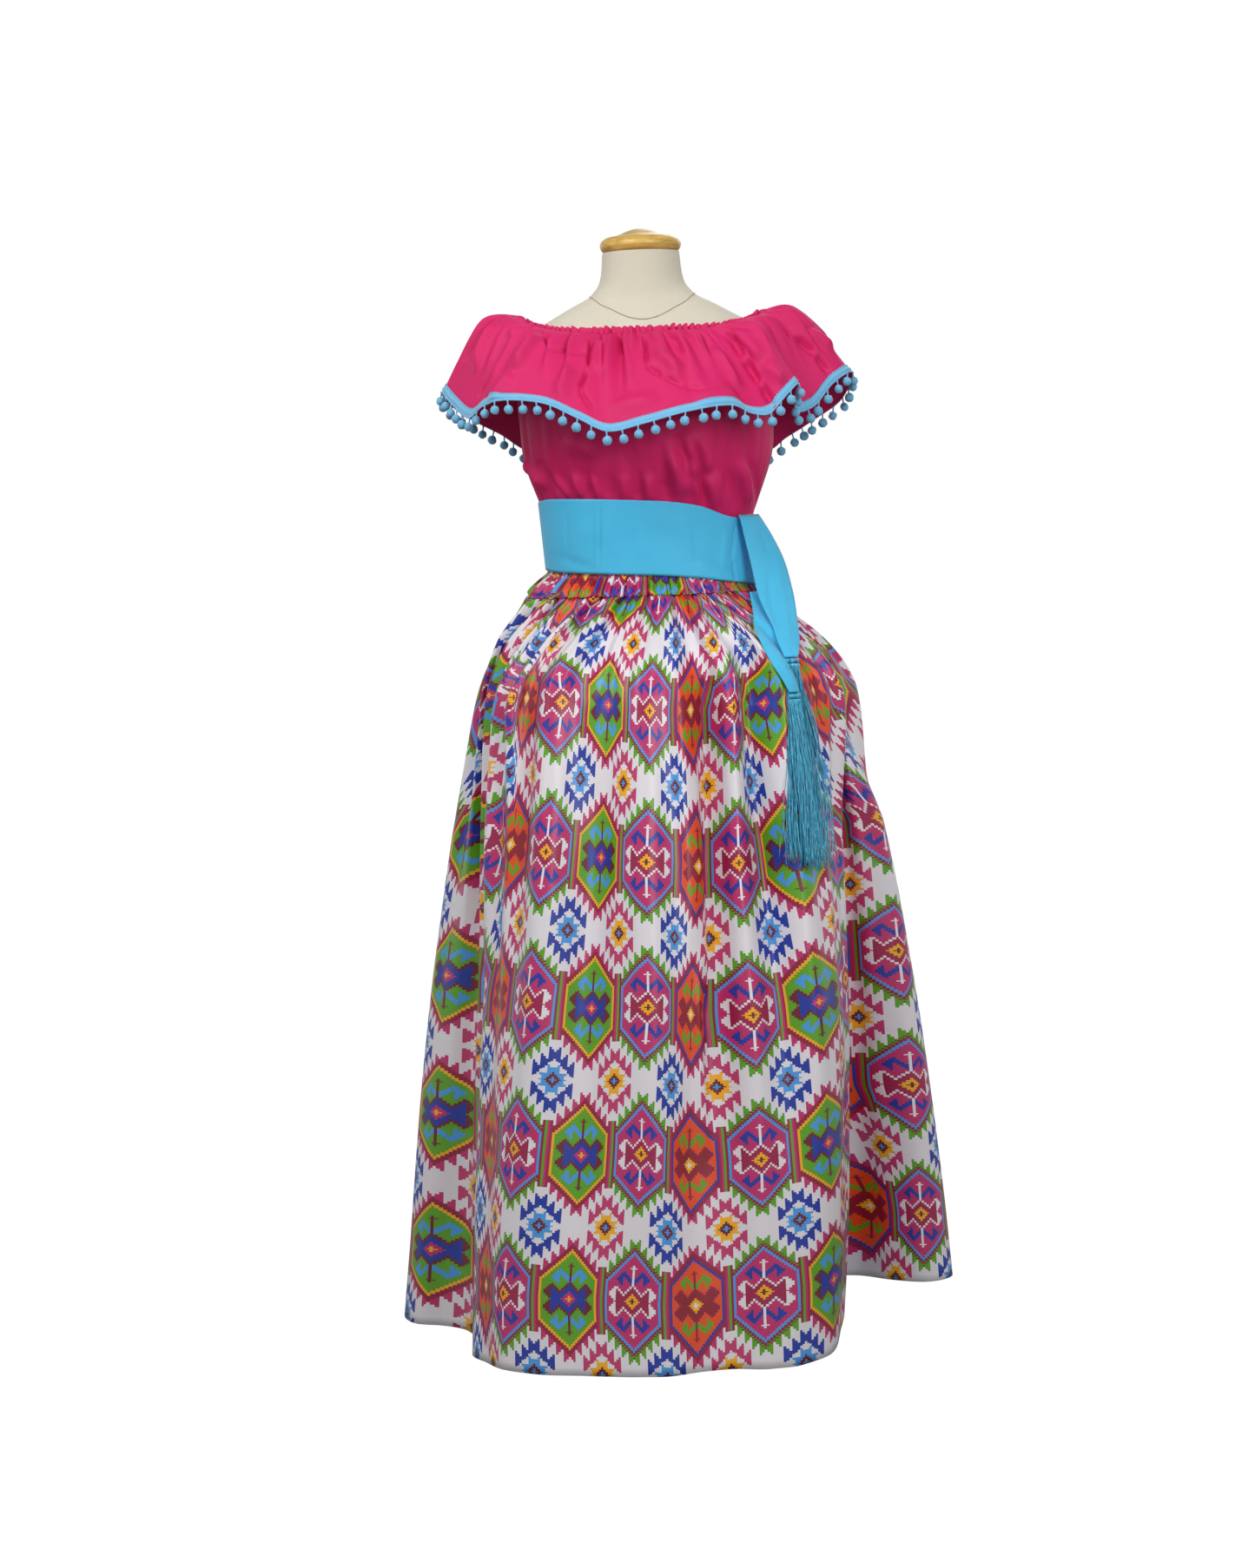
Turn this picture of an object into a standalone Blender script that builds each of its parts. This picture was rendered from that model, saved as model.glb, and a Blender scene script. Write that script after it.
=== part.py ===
"""Adelita set on a limbless dress form: off-shoulder blouse with a pompom ruffle,
wrapped sash with two fringed ends, and a long gathered skirt.

Metres, +Z up, the wearer faces -Y, and +X is the wearer's left. The origin is on
the floor under the pole. Each cloth piece is a closed wall around a grid of points:
rows run down the cloth and columns run round the body, counterclockwise seen from
above, from the wearer's right side through the front.
"""
import math

import bmesh
import bpy
from mathutils import Vector

CLOTH = 0.0012
SEAM = 0.0003
TAU = 2.0 * math.pi

FORM_BOTTOM = 0.700
NECK_TOP = 1.410
FORM_COLUMNS = 36
BLOUSE_HEM = 0.955
BLOUSE_CHEST = 1.250
UNDERARM = 1.222

SKIRT_TOP = 0.970
CASING_TOP = 1.012
SKIRT_EDGE = 0.030
CASING_OUT = 0.0054
CASING_WALL = 0.0016
CASING_GATHER = 0.0014
FRONT_GATHERS = 24
BACK_GATHERS = 24
SIDE_SEAM_TURN = 0.472
HIP_DOWN = 0.119
HIP_ROUND = 0.6
HIP_EASE = 0.060

NECK_CASING = 0.012
NECK_DROP = 0.003
BLOUSE_DROP = 0.0005
BLOUSE_TUCK = 0.0012
NECK_OUT = 0.0074
NECK_WALL = 0.0024
NECK_GATHER = 0.0014
FRONT_POMPOMS = 40
BACK_POMPOMS = 34
BRAID = 0.010
BRAID_WALL = 0.0010
RUFFLE_DEPTH = 0.170
RUFFLE_ROUND = 0.62
STEM_WIDTH = 0.0022
STEM_LENGTH = 0.0070
POMPOM_RADIUS = 0.0060

SASH_WALL = 0.0014
SASH_COLUMNS = 48
UNDER_COLUMNS = 8

BASE_RADIUS = 0.155
BASE_HEIGHT = 0.014
POLE_RADIUS = 0.0125

# Torso sections from the hips up: half width, half depth, and how far forward the middle lies.
FORM_SECTIONS = [
    # z, half_width, half_depth, forward
    (0.700, 0.1560, 0.1100, 0.000),
    (0.730, 0.1640, 0.1160, 0.000),
    (0.800, 0.1680, 0.1190, 0.000),
    (0.880, 0.1580, 0.1120, 0.000),
    (0.955, 0.1400, 0.1000, 0.001),
    (1.010, 0.1275, 0.0920, 0.003),
    (1.050, 0.1265, 0.0910, 0.004),
    (1.090, 0.1370, 0.0970, 0.007),
    (1.145, 0.1545, 0.1110, 0.013),
    (1.200, 0.1600, 0.1190, 0.016),
    (1.250, 0.1660, 0.1060, 0.008),
    (1.280, 0.1660, 0.0920, 0.002),
    (1.302, 0.1580, 0.0810, -0.002),
    (1.316, 0.1400, 0.0730, -0.003),
    (1.328, 0.1180, 0.0660, -0.003),
    (1.342, 0.0930, 0.0590, -0.002),
    (1.354, 0.0700, 0.0540, 0.000),
    (1.372, 0.0550, 0.0510, 0.002),
    (1.410, 0.0495, 0.0490, 0.003),
]

# How far the middle of the blouse's wall stands off the form.
BLOUSE_EASE = [
    # z, ease
    (0.955, 0.0016),
    (1.020, 0.0017),
    (1.060, 0.0022),
    (1.100, 0.0036),
    (1.150, 0.0044),
    (1.200, 0.0036),
    (1.260, 0.0042),
    (1.340, 0.0040),
]

# Armholes: half of the opening at each side of the body, as a share of a turn.
ARMHOLE = [
    # z, half_opening
    (1.198, 0.0002),
    (1.202, 0.0030),
    (1.222, 0.0240),
    (1.250, 0.0400),
]

# Height of the neckline round the body: turn 0 is the wearer's right side, 0.25 the front.
NECKLINE = [
    # turn, z
    (0.00, 1.3140),
    (0.08, 1.3080),
    (0.15, 1.3000),
    (0.25, 1.2970),
    (0.35, 1.2990),
    (0.42, 1.3080),
    (0.50, 1.3150),
    (0.62, 1.3080),
    (0.75, 1.3020),
    (0.88, 1.3080),
]

# Ruffle hem, a row for each tip, dip or turn of a wave, and how high the cloth arches on its way there.
RUFFLE_FRONT = [
    # x, y, z, arch
    (-0.263, 0.004, 1.240, 0.036),
    (-0.250, -0.030, 1.224, 0.036),
    (-0.226, -0.078, 1.203, 0.031),
    (-0.205, -0.112, 1.216, 0.024),
    (-0.176, -0.140, 1.221, 0.020),
    (-0.128, -0.165, 1.214, 0.016),
    (-0.088, -0.185, 1.194, 0.014),
    (-0.050, -0.195, 1.176, 0.010),
    (-0.005, -0.200, 1.184, 0.012),
    (0.050, -0.197, 1.197, 0.014),
    (0.102, -0.180, 1.203, 0.016),
    (0.128, -0.163, 1.193, 0.016),
    (0.152, -0.150, 1.192, 0.020),
    (0.172, -0.140, 1.212, 0.024),
    (0.190, -0.122, 1.229, 0.028),
    (0.186, -0.094, 1.212, 0.028),
    (0.190, -0.070, 1.196, 0.030),
    (0.215, -0.052, 1.204, 0.028),
    (0.238, -0.038, 1.230, 0.028),
    (0.262, -0.018, 1.246, 0.027),
]
RUFFLE_BACK = [
    # x, y, z, arch
    (0.268, 0.014, 1.240, 0.026),
    (0.254, 0.056, 1.212, 0.024),
    (0.218, 0.096, 1.188, 0.022),
    (0.188, 0.136, 1.170, 0.020),
    (0.158, 0.152, 1.152, 0.016),
    (0.110, 0.156, 1.166, 0.014),
    (0.062, 0.178, 1.168, 0.014),
    (0.014, 0.190, 1.152, 0.012),
    (-0.036, 0.176, 1.160, 0.014),
    (-0.084, 0.166, 1.172, 0.014),
    (-0.126, 0.168, 1.162, 0.016),
    (-0.162, 0.152, 1.166, 0.018),
    (-0.192, 0.114, 1.186, 0.024),
    (-0.227, 0.071, 1.205, 0.030),
    (-0.256, 0.034, 1.226, 0.034),
]

# Skirt folds, a row each: where the fold meets the hem and the hip line, how far the cloth
# swells out half way down, and how far the edge is drawn up.
SKIRT_FRONT = [
    # x, y, hip_x, hip_y, bow, rise
    (-0.358, 0.030, -0.197, 0.020, 0.018, 0.000),
    (-0.360, -0.012, -0.201, -0.006, 0.018, 0.000),
    (-0.342, -0.050, -0.199, -0.030, 0.017, 0.000),
    (-0.306, -0.066, -0.192, -0.048, 0.010, 0.000),
    (-0.274, -0.096, -0.188, -0.064, 0.006, 0.000),
    (-0.260, -0.150, -0.190, -0.086, 0.006, 0.000),
    (-0.262, -0.225, -0.188, -0.108, 0.012, 0.000),
    (-0.244, -0.265, -0.177, -0.128, 0.014, 0.000),
    (-0.210, -0.303, -0.156, -0.148, 0.014, 0.000),
    (-0.165, -0.336, -0.127, -0.162, 0.012, 0.000),
    (-0.113, -0.349, -0.093, -0.172, 0.010, 0.000),
    (-0.050, -0.356, -0.047, -0.184, 0.012, 0.000),
    (-0.016, -0.361, -0.014, -0.186, 0.012, 0.000),
    (0.024, -0.349, 0.022, -0.178, 0.006, 0.000),
    (0.062, -0.341, 0.055, -0.176, 0.010, 0.000),
    (0.108, -0.338, 0.096, -0.176, 0.014, 0.000),
    (0.146, -0.330, 0.135, -0.168, 0.018, 0.000),
    (0.176, -0.288, 0.171, -0.150, 0.024, 0.002),
    (0.198, -0.206, 0.201, -0.122, 0.028, 0.006),
    (0.212, -0.122, 0.216, -0.088, 0.026, 0.012),
    (0.208, -0.036, 0.216, -0.052, 0.016, 0.018),
]
SKIRT_BACK = [
    # x, y, hip_x, hip_y, bow, rise
    (0.212, 0.026, 0.211, -0.028, 0.012, 0.022),
    (0.240, 0.026, 0.211, -0.012, 0.016, 0.024),
    (0.282, -0.012, 0.215, 0.002, 0.024, 0.026),
    (0.328, -0.030, 0.218, 0.016, 0.030, 0.026),
    (0.362, -0.006, 0.220, 0.034, 0.030, 0.026),
    (0.362, 0.056, 0.216, 0.058, 0.024, 0.022),
    (0.322, 0.108, 0.206, 0.080, 0.014, 0.018),
    (0.284, 0.158, 0.196, 0.104, 0.010, 0.014),
    (0.274, 0.226, 0.188, 0.130, 0.012, 0.010),
    (0.246, 0.298, 0.170, 0.158, 0.014, 0.006),
    (0.186, 0.344, 0.137, 0.180, 0.014, 0.002),
    (0.116, 0.342, 0.096, 0.188, 0.010, 0.000),
    (0.060, 0.312, 0.058, 0.184, 0.006, 0.000),
    (0.004, 0.318, 0.014, 0.186, 0.008, 0.000),
    (-0.054, 0.350, -0.034, 0.196, 0.012, 0.000),
    (-0.122, 0.358, -0.083, 0.196, 0.014, 0.000),
    (-0.190, 0.334, -0.129, 0.182, 0.014, 0.000),
    (-0.236, 0.276, -0.161, 0.156, 0.010, 0.000),
    (-0.254, 0.206, -0.179, 0.122, 0.006, 0.000),
    (-0.292, 0.150, -0.190, 0.086, 0.010, 0.000),
    (-0.334, 0.104, -0.196, 0.052, 0.017, 0.000),
]

# Share of the skirt's length below the casing, and the gathers' reach in or out there.
SKIRT_ROWS = [
    # down, gather
    (0.000, 0.0014),
    (0.030, 0.0034),
    (0.080, 0.0040),
    (0.150, 0.0036),
    (0.280, 0.0028),
    (0.460, 0.0014),
    (0.700, 0.0004),
    (1.000, 0.0000),
]

# Share of the ruffle's depth, and the gathers' reach there.
RUFFLE_ROWS = [
    # down, gather
    (0.000, 0.0014),
    (0.120, 0.0026),
    (0.300, 0.0022),
    (0.600, 0.0010),
    (1.0 - BRAID / RUFFLE_DEPTH, 0.0),
    (1.000, 0.0),
]

# Sash edges round the body, and how far the band's middle stands off the form there.
SASH_EDGES = [
    # turn, top, bottom, out_top, out_bottom
    (0.00, 1.0940, 1.0050, 0.0058, 0.0094),
    (0.08, 1.0990, 1.0020, 0.0062, 0.0094),
    (0.25, 1.0920, 0.9950, 0.0062, 0.0094),
    (0.38, 1.0760, 0.9820, 0.0080, 0.0108),
    (0.50, 1.0640, 0.9740, 0.0086, 0.0112),
    (0.62, 1.0700, 0.9760, 0.0070, 0.0104),
    (0.75, 1.0780, 0.9840, 0.0058, 0.0094),
    (0.90, 1.0880, 0.9960, 0.0058, 0.0094),
]
SASH_TURNS = (-0.485, 0.418)
UNDER_TURNS = (0.395, 0.530)
UNDER_INSET = 0.0022

# Sash ends, a row for each level of their two edges.
TAIL_FRONT = [
    # z, left_x, left_y, right_x, right_y
    (1.0756, 0.1110, -0.0680, 0.1370, -0.0350),
    (1.0690, 0.1130, -0.0760, 0.1400, -0.0500),
    (1.0400, 0.1185, -0.0780, 0.1555, -0.0400),
    (1.0060, 0.1255, -0.0840, 0.1700, -0.0500),
    (0.9695, 0.1320, -0.0980, 0.1780, -0.0700),
    (0.9520, 0.1370, -0.1120, 0.1800, -0.0860),
    (0.9420, 0.1410, -0.1200, 0.1805, -0.0960),
    (0.9250, 0.1480, -0.1340, 0.1812, -0.1120),
    (0.9080, 0.1530, -0.1500, 0.1815, -0.1300),
    (0.8945, 0.1580, -0.1570, 0.1790, -0.1440),
    (0.8880, 0.1600, -0.1600, 0.1780, -0.1500),
]
TAIL_BACK = [
    # z, left_x, left_y, right_x, right_y
    (0.9695, 0.1225, -0.0700, 0.1540, -0.0400),
    (0.9610, 0.1235, -0.0800, 0.1585, -0.0520),
    (0.9520, 0.1245, -0.0930, 0.1615, -0.0640),
    (0.9420, 0.1247, -0.1060, 0.1650, -0.0760),
    (0.9250, 0.1250, -0.1260, 0.1685, -0.0920),
    (0.9080, 0.1310, -0.1420, 0.1713, -0.1080),
    (0.8945, 0.1365, -0.1480, 0.1723, -0.1120),
    (0.8800, 0.1440, -0.1520, 0.1733, -0.1200),
    (0.8660, 0.1525, -0.1560, 0.1742, -0.1320),
    (0.8460, 0.1630, -0.1600, 0.1765, -0.1500),
]
TAIL_FRONT_OFF = 0.0130
TAIL_BACK_OFF = 0.0084
TAIL_SWELL = 0.0030
FRONT_STEP = 0.0005

# Fringes under each end: the middle of the strands on their way down, and half their spread.
FRINGE_FRONT = [
    # z, x, spread
    (0.8510, 0.1726, 0.0100),
    (0.7860, 0.1800, 0.0125),
    (0.7110, 0.1870, 0.0145),
    (0.6360, 0.1900, 0.0165),
]
FRINGE_BACK = [
    # z, x, spread
    (0.8080, 0.1690, 0.0085),
    (0.7700, 0.1700, 0.0100),
    (0.7100, 0.1700, 0.0130),
    (0.6420, 0.1680, 0.0160),
]
FRINGE_STRANDS = 12
STRAND_SHARE = 0.60
KNOT_BAND = 0.012

# Turned neck cap: radius and height above the neck's end.
CAP_PROFILE = [
    # radius, z
    (0.0470, 0.0000),
    (0.0505, 0.0030),
    (0.0525, 0.0085),
    (0.0505, 0.0145),
    (0.0465, 0.0175),
    (0.0440, 0.0185),
    (0.0400, 0.0225),
    (0.0280, 0.0275),
    (0.0130, 0.0298),
]

# Surface finishes: colour, roughness, metallic.
FINISHES = {
    "fuchsia_satin": ((0.62, 0.030, 0.120), 0.45, 0.0),
    "printed_satin": ((0.66, 0.48, 0.58), 0.40, 0.0),
    "blue_braid": ((0.19, 0.55, 0.84), 0.80, 0.0),
    "turquoise_ribbon": ((0.035, 0.42, 0.70), 0.55, 0.0),
    "linen_cover": ((0.68, 0.62, 0.49), 0.85, 0.0),
    "varnished_wood": ((0.55, 0.27, 0.07), 0.30, 0.0),
    "steel": ((0.45, 0.45, 0.46), 0.35, 1.0),
}


def clear_scene():
    for thing in list(bpy.data.objects):
        bpy.data.objects.remove(thing, do_unlink=True)


def finish(name):
    """Return the named material, made on first use."""
    material = bpy.data.materials.get(name)
    if material is None:
        colour, roughness, metallic = FINISHES[name]
        material = bpy.data.materials.new(name)
        material.use_nodes = True
        shader = material.node_tree.nodes["Principled BSDF"]
        shader.inputs["Base Color"].default_value = (*colour, 1.0)
        shader.inputs["Roughness"].default_value = roughness
        shader.inputs["Metallic"].default_value = metallic
    return material


def add_object(name, points, faces, finish_name):
    """Make one closed mesh object with its faces pointing out."""
    mesh = bpy.data.meshes.new(name)
    mesh.from_pydata([tuple(p) for p in points], [], faces)
    shape = bmesh.new()
    shape.from_mesh(mesh)
    bmesh.ops.triangulate(shape, faces=shape.faces)
    bmesh.ops.recalc_face_normals(shape, faces=shape.faces)
    shape.to_mesh(mesh)
    shape.free()
    mesh.shade_smooth()
    mesh.set_sharp_from_angle(angle=math.radians(50.0))
    mesh.materials.append(finish(finish_name))
    thing = bpy.data.objects.new(name, mesh)
    bpy.context.scene.collection.objects.link(thing)
    return thing


def table_value(rows, key, column=1):
    """Read one column of a table at key, with straight runs between rows."""
    if key <= rows[0][0]:
        return rows[0][column]
    for low, high in zip(rows, rows[1:]):
        if key <= high[0]:
            t = (key - low[0]) / (high[0] - low[0])
            return low[column] + t * (high[column] - low[column])
    return rows[-1][column]


def smooth_value(rows, key, column):
    """Read one column with a curve that eases through the rows."""
    last = len(rows) - 1
    index = max(i for i in range(last) if i == 0 or rows[i][0] <= key)
    low, high = rows[index], rows[index + 1]
    before, after = rows[max(index - 1, 0)], rows[min(index + 2, last)]
    span = high[0] - low[0]
    t = min(max((key - low[0]) / span, 0.0), 1.0)
    rise_low = (high[column] - before[column]) / max(high[0] - before[0], 1e-9) * span
    rise_high = (after[column] - low[column]) / max(after[0] - low[0], 1e-9) * span
    return (
        (2 * t**3 - 3 * t**2 + 1) * low[column]
        + (t**3 - 2 * t**2 + t) * rise_low
        + (3 * t**2 - 2 * t**3) * high[column]
        + (t**3 - t**2) * rise_high
    )


def round_value(rows, turn, column=1):
    """Read a table that closes on itself, its first column a turn from 0 to 1."""
    turn = turn % 1.0
    ahead = [(row[0] + 1.0, *row[1:]) for row in rows[:3]]
    behind = [(row[0] - 1.0, *row[1:]) for row in rows[-3:]]
    return smooth_value(behind + rows + ahead, turn, column)


def form_section(z):
    """Half width, half depth and forward shift of the torso at z."""
    return tuple(smooth_value(FORM_SECTIONS, z, column) for column in (1, 2, 3))


def form_spot(turn, z):
    """A point on the torso: turn 0 is the wearer's right side and 0.25 the front."""
    half_width, half_depth, forward = form_section(z)
    angle = TAU * (0.5 + turn)
    return Vector((half_width * math.cos(angle), half_depth * math.sin(angle) - forward, z))


def form_point(turn, z, out=0.0):
    """A point that stands off the torso by out, square to its skin."""
    spot = form_spot(turn, z)
    step = 1e-4
    along = form_spot(turn + step, z) - spot
    up = form_spot(turn, z + step) - spot
    return spot + along.cross(up).normalized() * out


def closed_curve(rows, samples=24):
    """Points and their lengths along a smooth closed curve through the rows."""
    count = len(rows)
    curve = []
    for i in range(count):
        a, b, c, d = (rows[(i + k) % count] for k in (-1, 0, 1, 2))
        for j in range(samples):
            t = j / samples
            curve.append([
                0.5 * (2 * q + (r - p) * t + (2 * p - 5 * q + 4 * r - s) * t**2
                       + (3 * q - p - 3 * r + s) * t**3)
                for p, q, r, s in zip(a, b, c, d)
            ])
    curve.append(list(curve[0]))
    return curve


def panel_columns(front_rows, back_rows, axes, front_count, back_count):
    """Values at equal steps of cloth round a hem: the front's columns, then the back's."""
    samples = 24
    curve = closed_curve(front_rows + back_rows, samples)
    lengths = [0.0]
    for low, high in zip(curve, curve[1:]):
        lengths.append(lengths[-1] + math.dist(low[:axes], high[:axes]))
    seam = lengths[len(front_rows) * samples]
    targets = [seam * i / front_count for i in range(front_count)]
    targets += [seam + (lengths[-1] - seam) * i / back_count for i in range(back_count)]
    columns = []
    index = 0
    for target in targets:
        while lengths[index + 1] < target:
            index += 1
        t = (target - lengths[index]) / (lengths[index + 1] - lengths[index])
        columns.append([a + t * (b - a) for a, b in zip(curve[index], curve[index + 1])])
    return columns


def column_turns(front_count, back_count, seam_turn=0.5):
    """The turn round the body of each column, even along the body's outline in each panel."""
    half_width, half_depth, _ = form_section(SKIRT_TOP)
    steps = 720
    turns = []
    for start, end, count in ((0.0, seam_turn, front_count), (seam_turn, 1.0, back_count)):
        lengths = [0.0]
        for i in range(steps):
            a = TAU * (start + (end - start) * i / steps)
            b = TAU * (start + (end - start) * (i + 1) / steps)
            width = half_width * (math.cos(a) - math.cos(b))
            depth = half_depth * (math.sin(a) - math.sin(b))
            lengths.append(lengths[-1] + math.hypot(width, depth))
        index = 0
        for i in range(count):
            target = lengths[-1] * i / count
            while lengths[index + 1] < target:
                index += 1
            t = (target - lengths[index]) / (lengths[index + 1] - lengths[index])
            turns.append(start + (end - start) * (index + t) / steps)
    return turns


def cloth_normals(grid, closed):
    """Directions square to the cloth, pointing away from the body."""
    rows, columns = len(grid), len(grid[0])
    normals = []
    for i in range(rows):
        line = []
        for j in range(columns):
            above, below = grid[max(i - 1, 0)][j], grid[min(i + 1, rows - 1)][j]
            if closed:
                left, right = grid[i][j - 1], grid[i][(j + 1) % columns]
            else:
                left, right = grid[i][max(j - 1, 0)], grid[i][min(j + 1, columns - 1)]
            line.append((below - above).cross(right - left).normalized())
        normals.append(line)
    return normals


def level(normals, row):
    """Lay a row's directions flat, so that the wall's edge there is level."""
    normals[row] = [Vector((n.x, n.y, 0.0)).normalized() for n in normals[row]]


def wall_faces(rows, columns, closed, outer, inner):
    """Faces of a wall between two grids of point numbers."""
    spans = columns if closed else columns - 1
    faces = []
    for j in range(spans):
        k = (j + 1) % columns
        for i in range(rows - 1):
            faces.append((outer(i, j), outer(i + 1, j), outer(i + 1, k), outer(i, k)))
            faces.append((inner(i, k), inner(i + 1, k), inner(i + 1, j), inner(i, j)))
        faces.append((outer(0, k), inner(0, k), inner(0, j), outer(0, j)))
        faces.append((outer(rows - 1, j), inner(rows - 1, j), inner(rows - 1, k), outer(rows - 1, k)))
    if not closed:
        last = columns - 1
        for i in range(rows - 1):
            faces.append((outer(i, 0), inner(i, 0), inner(i + 1, 0), outer(i + 1, 0)))
            faces.append((outer(i, last), outer(i + 1, last), inner(i + 1, last), inner(i, last)))
    return faces


def cloth_wall(name, grid, normals, finish_name, closed=False, thickness=CLOTH):
    """Make a closed wall of even thickness around a grid of cloth points."""
    rows, columns = len(grid), len(grid[0])
    half = thickness / 2.0
    points = [p + n * half for line, side in zip(grid, normals) for p, n in zip(line, side)]
    points += [p - n * half for line, side in zip(grid, normals) for p, n in zip(line, side)]
    size = rows * columns
    faces = wall_faces(rows, columns, closed,
                       lambda i, j: i * columns + j, lambda i, j: size + i * columns + j)
    return add_object(name, points, faces, finish_name)


def cloth_panels(names, grid, normals, seam_column, finish_name):
    """Cut a ring of cloth into a front and a back, each drawn in a little at its side seams."""
    count = len(grid[0])
    for name, first, last in ((names[0], 0, seam_column), (names[1], seam_column, count)):
        panel = []
        sides = []
        for line, directions in zip(grid, normals):
            row = [line[j % count].copy() for j in range(first, last + 1)]
            row[0] += (row[1] - row[0]).normalized() * SEAM
            row[-1] += (row[-2] - row[-1]).normalized() * SEAM
            panel.append(row)
            sides.append([directions[j % count] for j in range(first, last + 1)])
        cloth_wall(name, panel, sides, finish_name)


def gather_reach(index, reach):
    """Gathers turn out and in from one column to the next."""
    return reach if index % 2 == 0 else -reach


def turned(name, profile, sides, finish_name, base_z=0.0):
    """Make a solid of revolution from (radius, z) rows, capped flat at both ends."""
    points = []
    faces = []
    for radius, z in profile:
        for j in range(sides):
            angle = TAU * j / sides
            points.append(Vector((radius * math.cos(angle), radius * math.sin(angle), base_z + z)))
    for i in range(len(profile) - 1):
        for j in range(sides):
            k = (j + 1) % sides
            faces.append((i * sides + j, i * sides + k, (i + 1) * sides + k, (i + 1) * sides + j))
    faces.append(tuple(reversed(range(sides))))
    faces.append(tuple((len(profile) - 1) * sides + j for j in range(sides)))
    return add_object(name, points, faces, finish_name)


def dress_form():
    """Torso and neck in one padded body, closed at the bottom and at the neck's end."""
    heights = [row[0] for row in FORM_SECTIONS]
    points = []
    faces = []
    for z in heights:
        for j in range(FORM_COLUMNS):
            points.append(form_spot(j / FORM_COLUMNS, z))
    for i in range(len(heights) - 1):
        for j in range(FORM_COLUMNS):
            k = (j + 1) % FORM_COLUMNS
            low, high = i * FORM_COLUMNS, (i + 1) * FORM_COLUMNS
            faces.append((low + j, low + k, high + k, high + j))
    faces.append(tuple(reversed(range(FORM_COLUMNS))))
    faces.append(tuple((len(heights) - 1) * FORM_COLUMNS + j for j in range(FORM_COLUMNS)))
    return add_object("dress_form", points, faces, "linen_cover")


def stand():
    """Neck cap, pole with its collar and flange, and round base."""
    forward = form_section(NECK_TOP)[2]
    cap = turned("neck_cap", CAP_PROFILE, 20, "varnished_wood", NECK_TOP + SEAM)
    cap.location.y = -forward
    pole = [
        # radius, z
        (POLE_RADIUS, 0.044 + SEAM),
        (POLE_RADIUS, 0.672),
        (0.045, 0.676),
        (0.045, FORM_BOTTOM - SEAM),
    ]
    turned("stand_pole", pole, 16, "steel")
    base = [
        # radius, z
        (BASE_RADIUS, 0.0),
        (BASE_RADIUS, BASE_HEIGHT - 0.004),
        (BASE_RADIUS - 0.006, BASE_HEIGHT),
        (0.034, BASE_HEIGHT + 0.002),
        (0.024, 0.040),
        (0.020, 0.044),
    ]
    turned("stand_base", base, 28, "steel")


def neckline_z(turn):
    return round_value(NECKLINE, turn)


def blouse():
    """Bodice halves that follow the form from the neckline down into the skirt, open at the armholes."""
    rows = [("heading", 0.0)] + [("top", share) for share in (0.14, 0.40, 0.70)]
    levels = [row[0] for row in FORM_SECTIONS if BLOUSE_HEM <= row[0] <= BLOUSE_CHEST] + [UNDERARM]
    rows += [("level", z) for z in sorted(levels, reverse=True)]
    columns = FORM_COLUMNS // 2
    for name, start in (("blouse_front", 0.0), ("blouse_back", 0.5)):
        grid = []
        sides = []
        for kind, value in rows:
            opening = table_value(ARMHOLE, value if kind == "level" else BLOUSE_CHEST)
            line = []
            side = []
            for j in range(columns + 1):
                turn = start + opening + (0.5 - 2.0 * opening) * j / columns
                if kind == "heading":
                    line.append(neck_point(turn, NECK_DROP + BLOUSE_DROP, -BLOUSE_TUCK))
                    side.append((neck_point(turn, 0.0, CLOTH) - neck_point(turn, 0.0, 0.0)).normalized())
                    continue
                z = value
                if kind == "top":
                    top = neckline_z(turn) - NECK_DROP
                    z = top + value * (BLOUSE_CHEST - top)
                ease = table_value(BLOUSE_EASE, z)
                line.append(form_point(turn, z, ease))
                side.append((form_point(turn, z, ease + CLOTH) - line[-1]).normalized())
            grid.append(line)
            sides.append(side)
        cloth_wall(name, grid, sides, "fuchsia_satin")


def neck_point(turn, drop, out):
    """A point of the elastic heading, which stands upright round the shoulders."""
    base = form_point(turn, neckline_z(turn), NECK_OUT)
    side = form_spot(turn, neckline_z(turn)) - Vector((0.0, 0.0, neckline_z(turn)))
    side.z = 0.0
    return base + side.normalized() * out + Vector((0.0, 0.0, -drop))


def ruffle():
    """Neck casing, the two ruffle halves and the pompom braid on their hem."""
    front, back = 2 * FRONT_POMPOMS, 2 * BACK_POMPOMS
    turns = column_turns(front, back)
    hem = panel_columns(RUFFLE_FRONT, RUFFLE_BACK, 3, front, back)
    casing = [
        [neck_point(turn, drop, gather_reach(j, NECK_GATHER)) for j, turn in enumerate(turns)]
        for drop in (NECK_DROP - NECK_CASING, NECK_DROP)
    ]
    normals = cloth_normals(casing, True)
    level(normals, 0)
    level(normals, -1)
    cloth_wall("neck_casing", casing, normals, "fuchsia_satin", True, NECK_WALL)
    stand_off = NECK_WALL / 2 + CLOTH / 2 + SEAM + 0.0009
    grid = []
    for down, reach in RUFFLE_ROWS:
        line = []
        for j, turn in enumerate(turns):
            x, y, z, arch = hem[j]
            start = neck_point(turn, 0.0, stand_off)
            outward = (start - neck_point(turn, 0.0, 0.0)).normalized()
            end = Vector((x, y, z))
            lift = arch * math.sin(math.pi * down**RUFFLE_ROUND)
            point = start.lerp(end, down) + Vector((0.0, 0.0, lift)) + outward * (0.35 * lift)
            line.append(point + outward * gather_reach(j, reach))
        grid.append(line)
    normals = cloth_normals(grid, True)
    cloth_panels(("ruffle_front", "ruffle_back"), grid, normals, front, "fuchsia_satin")
    pompom_trim(grid, normals)


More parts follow.
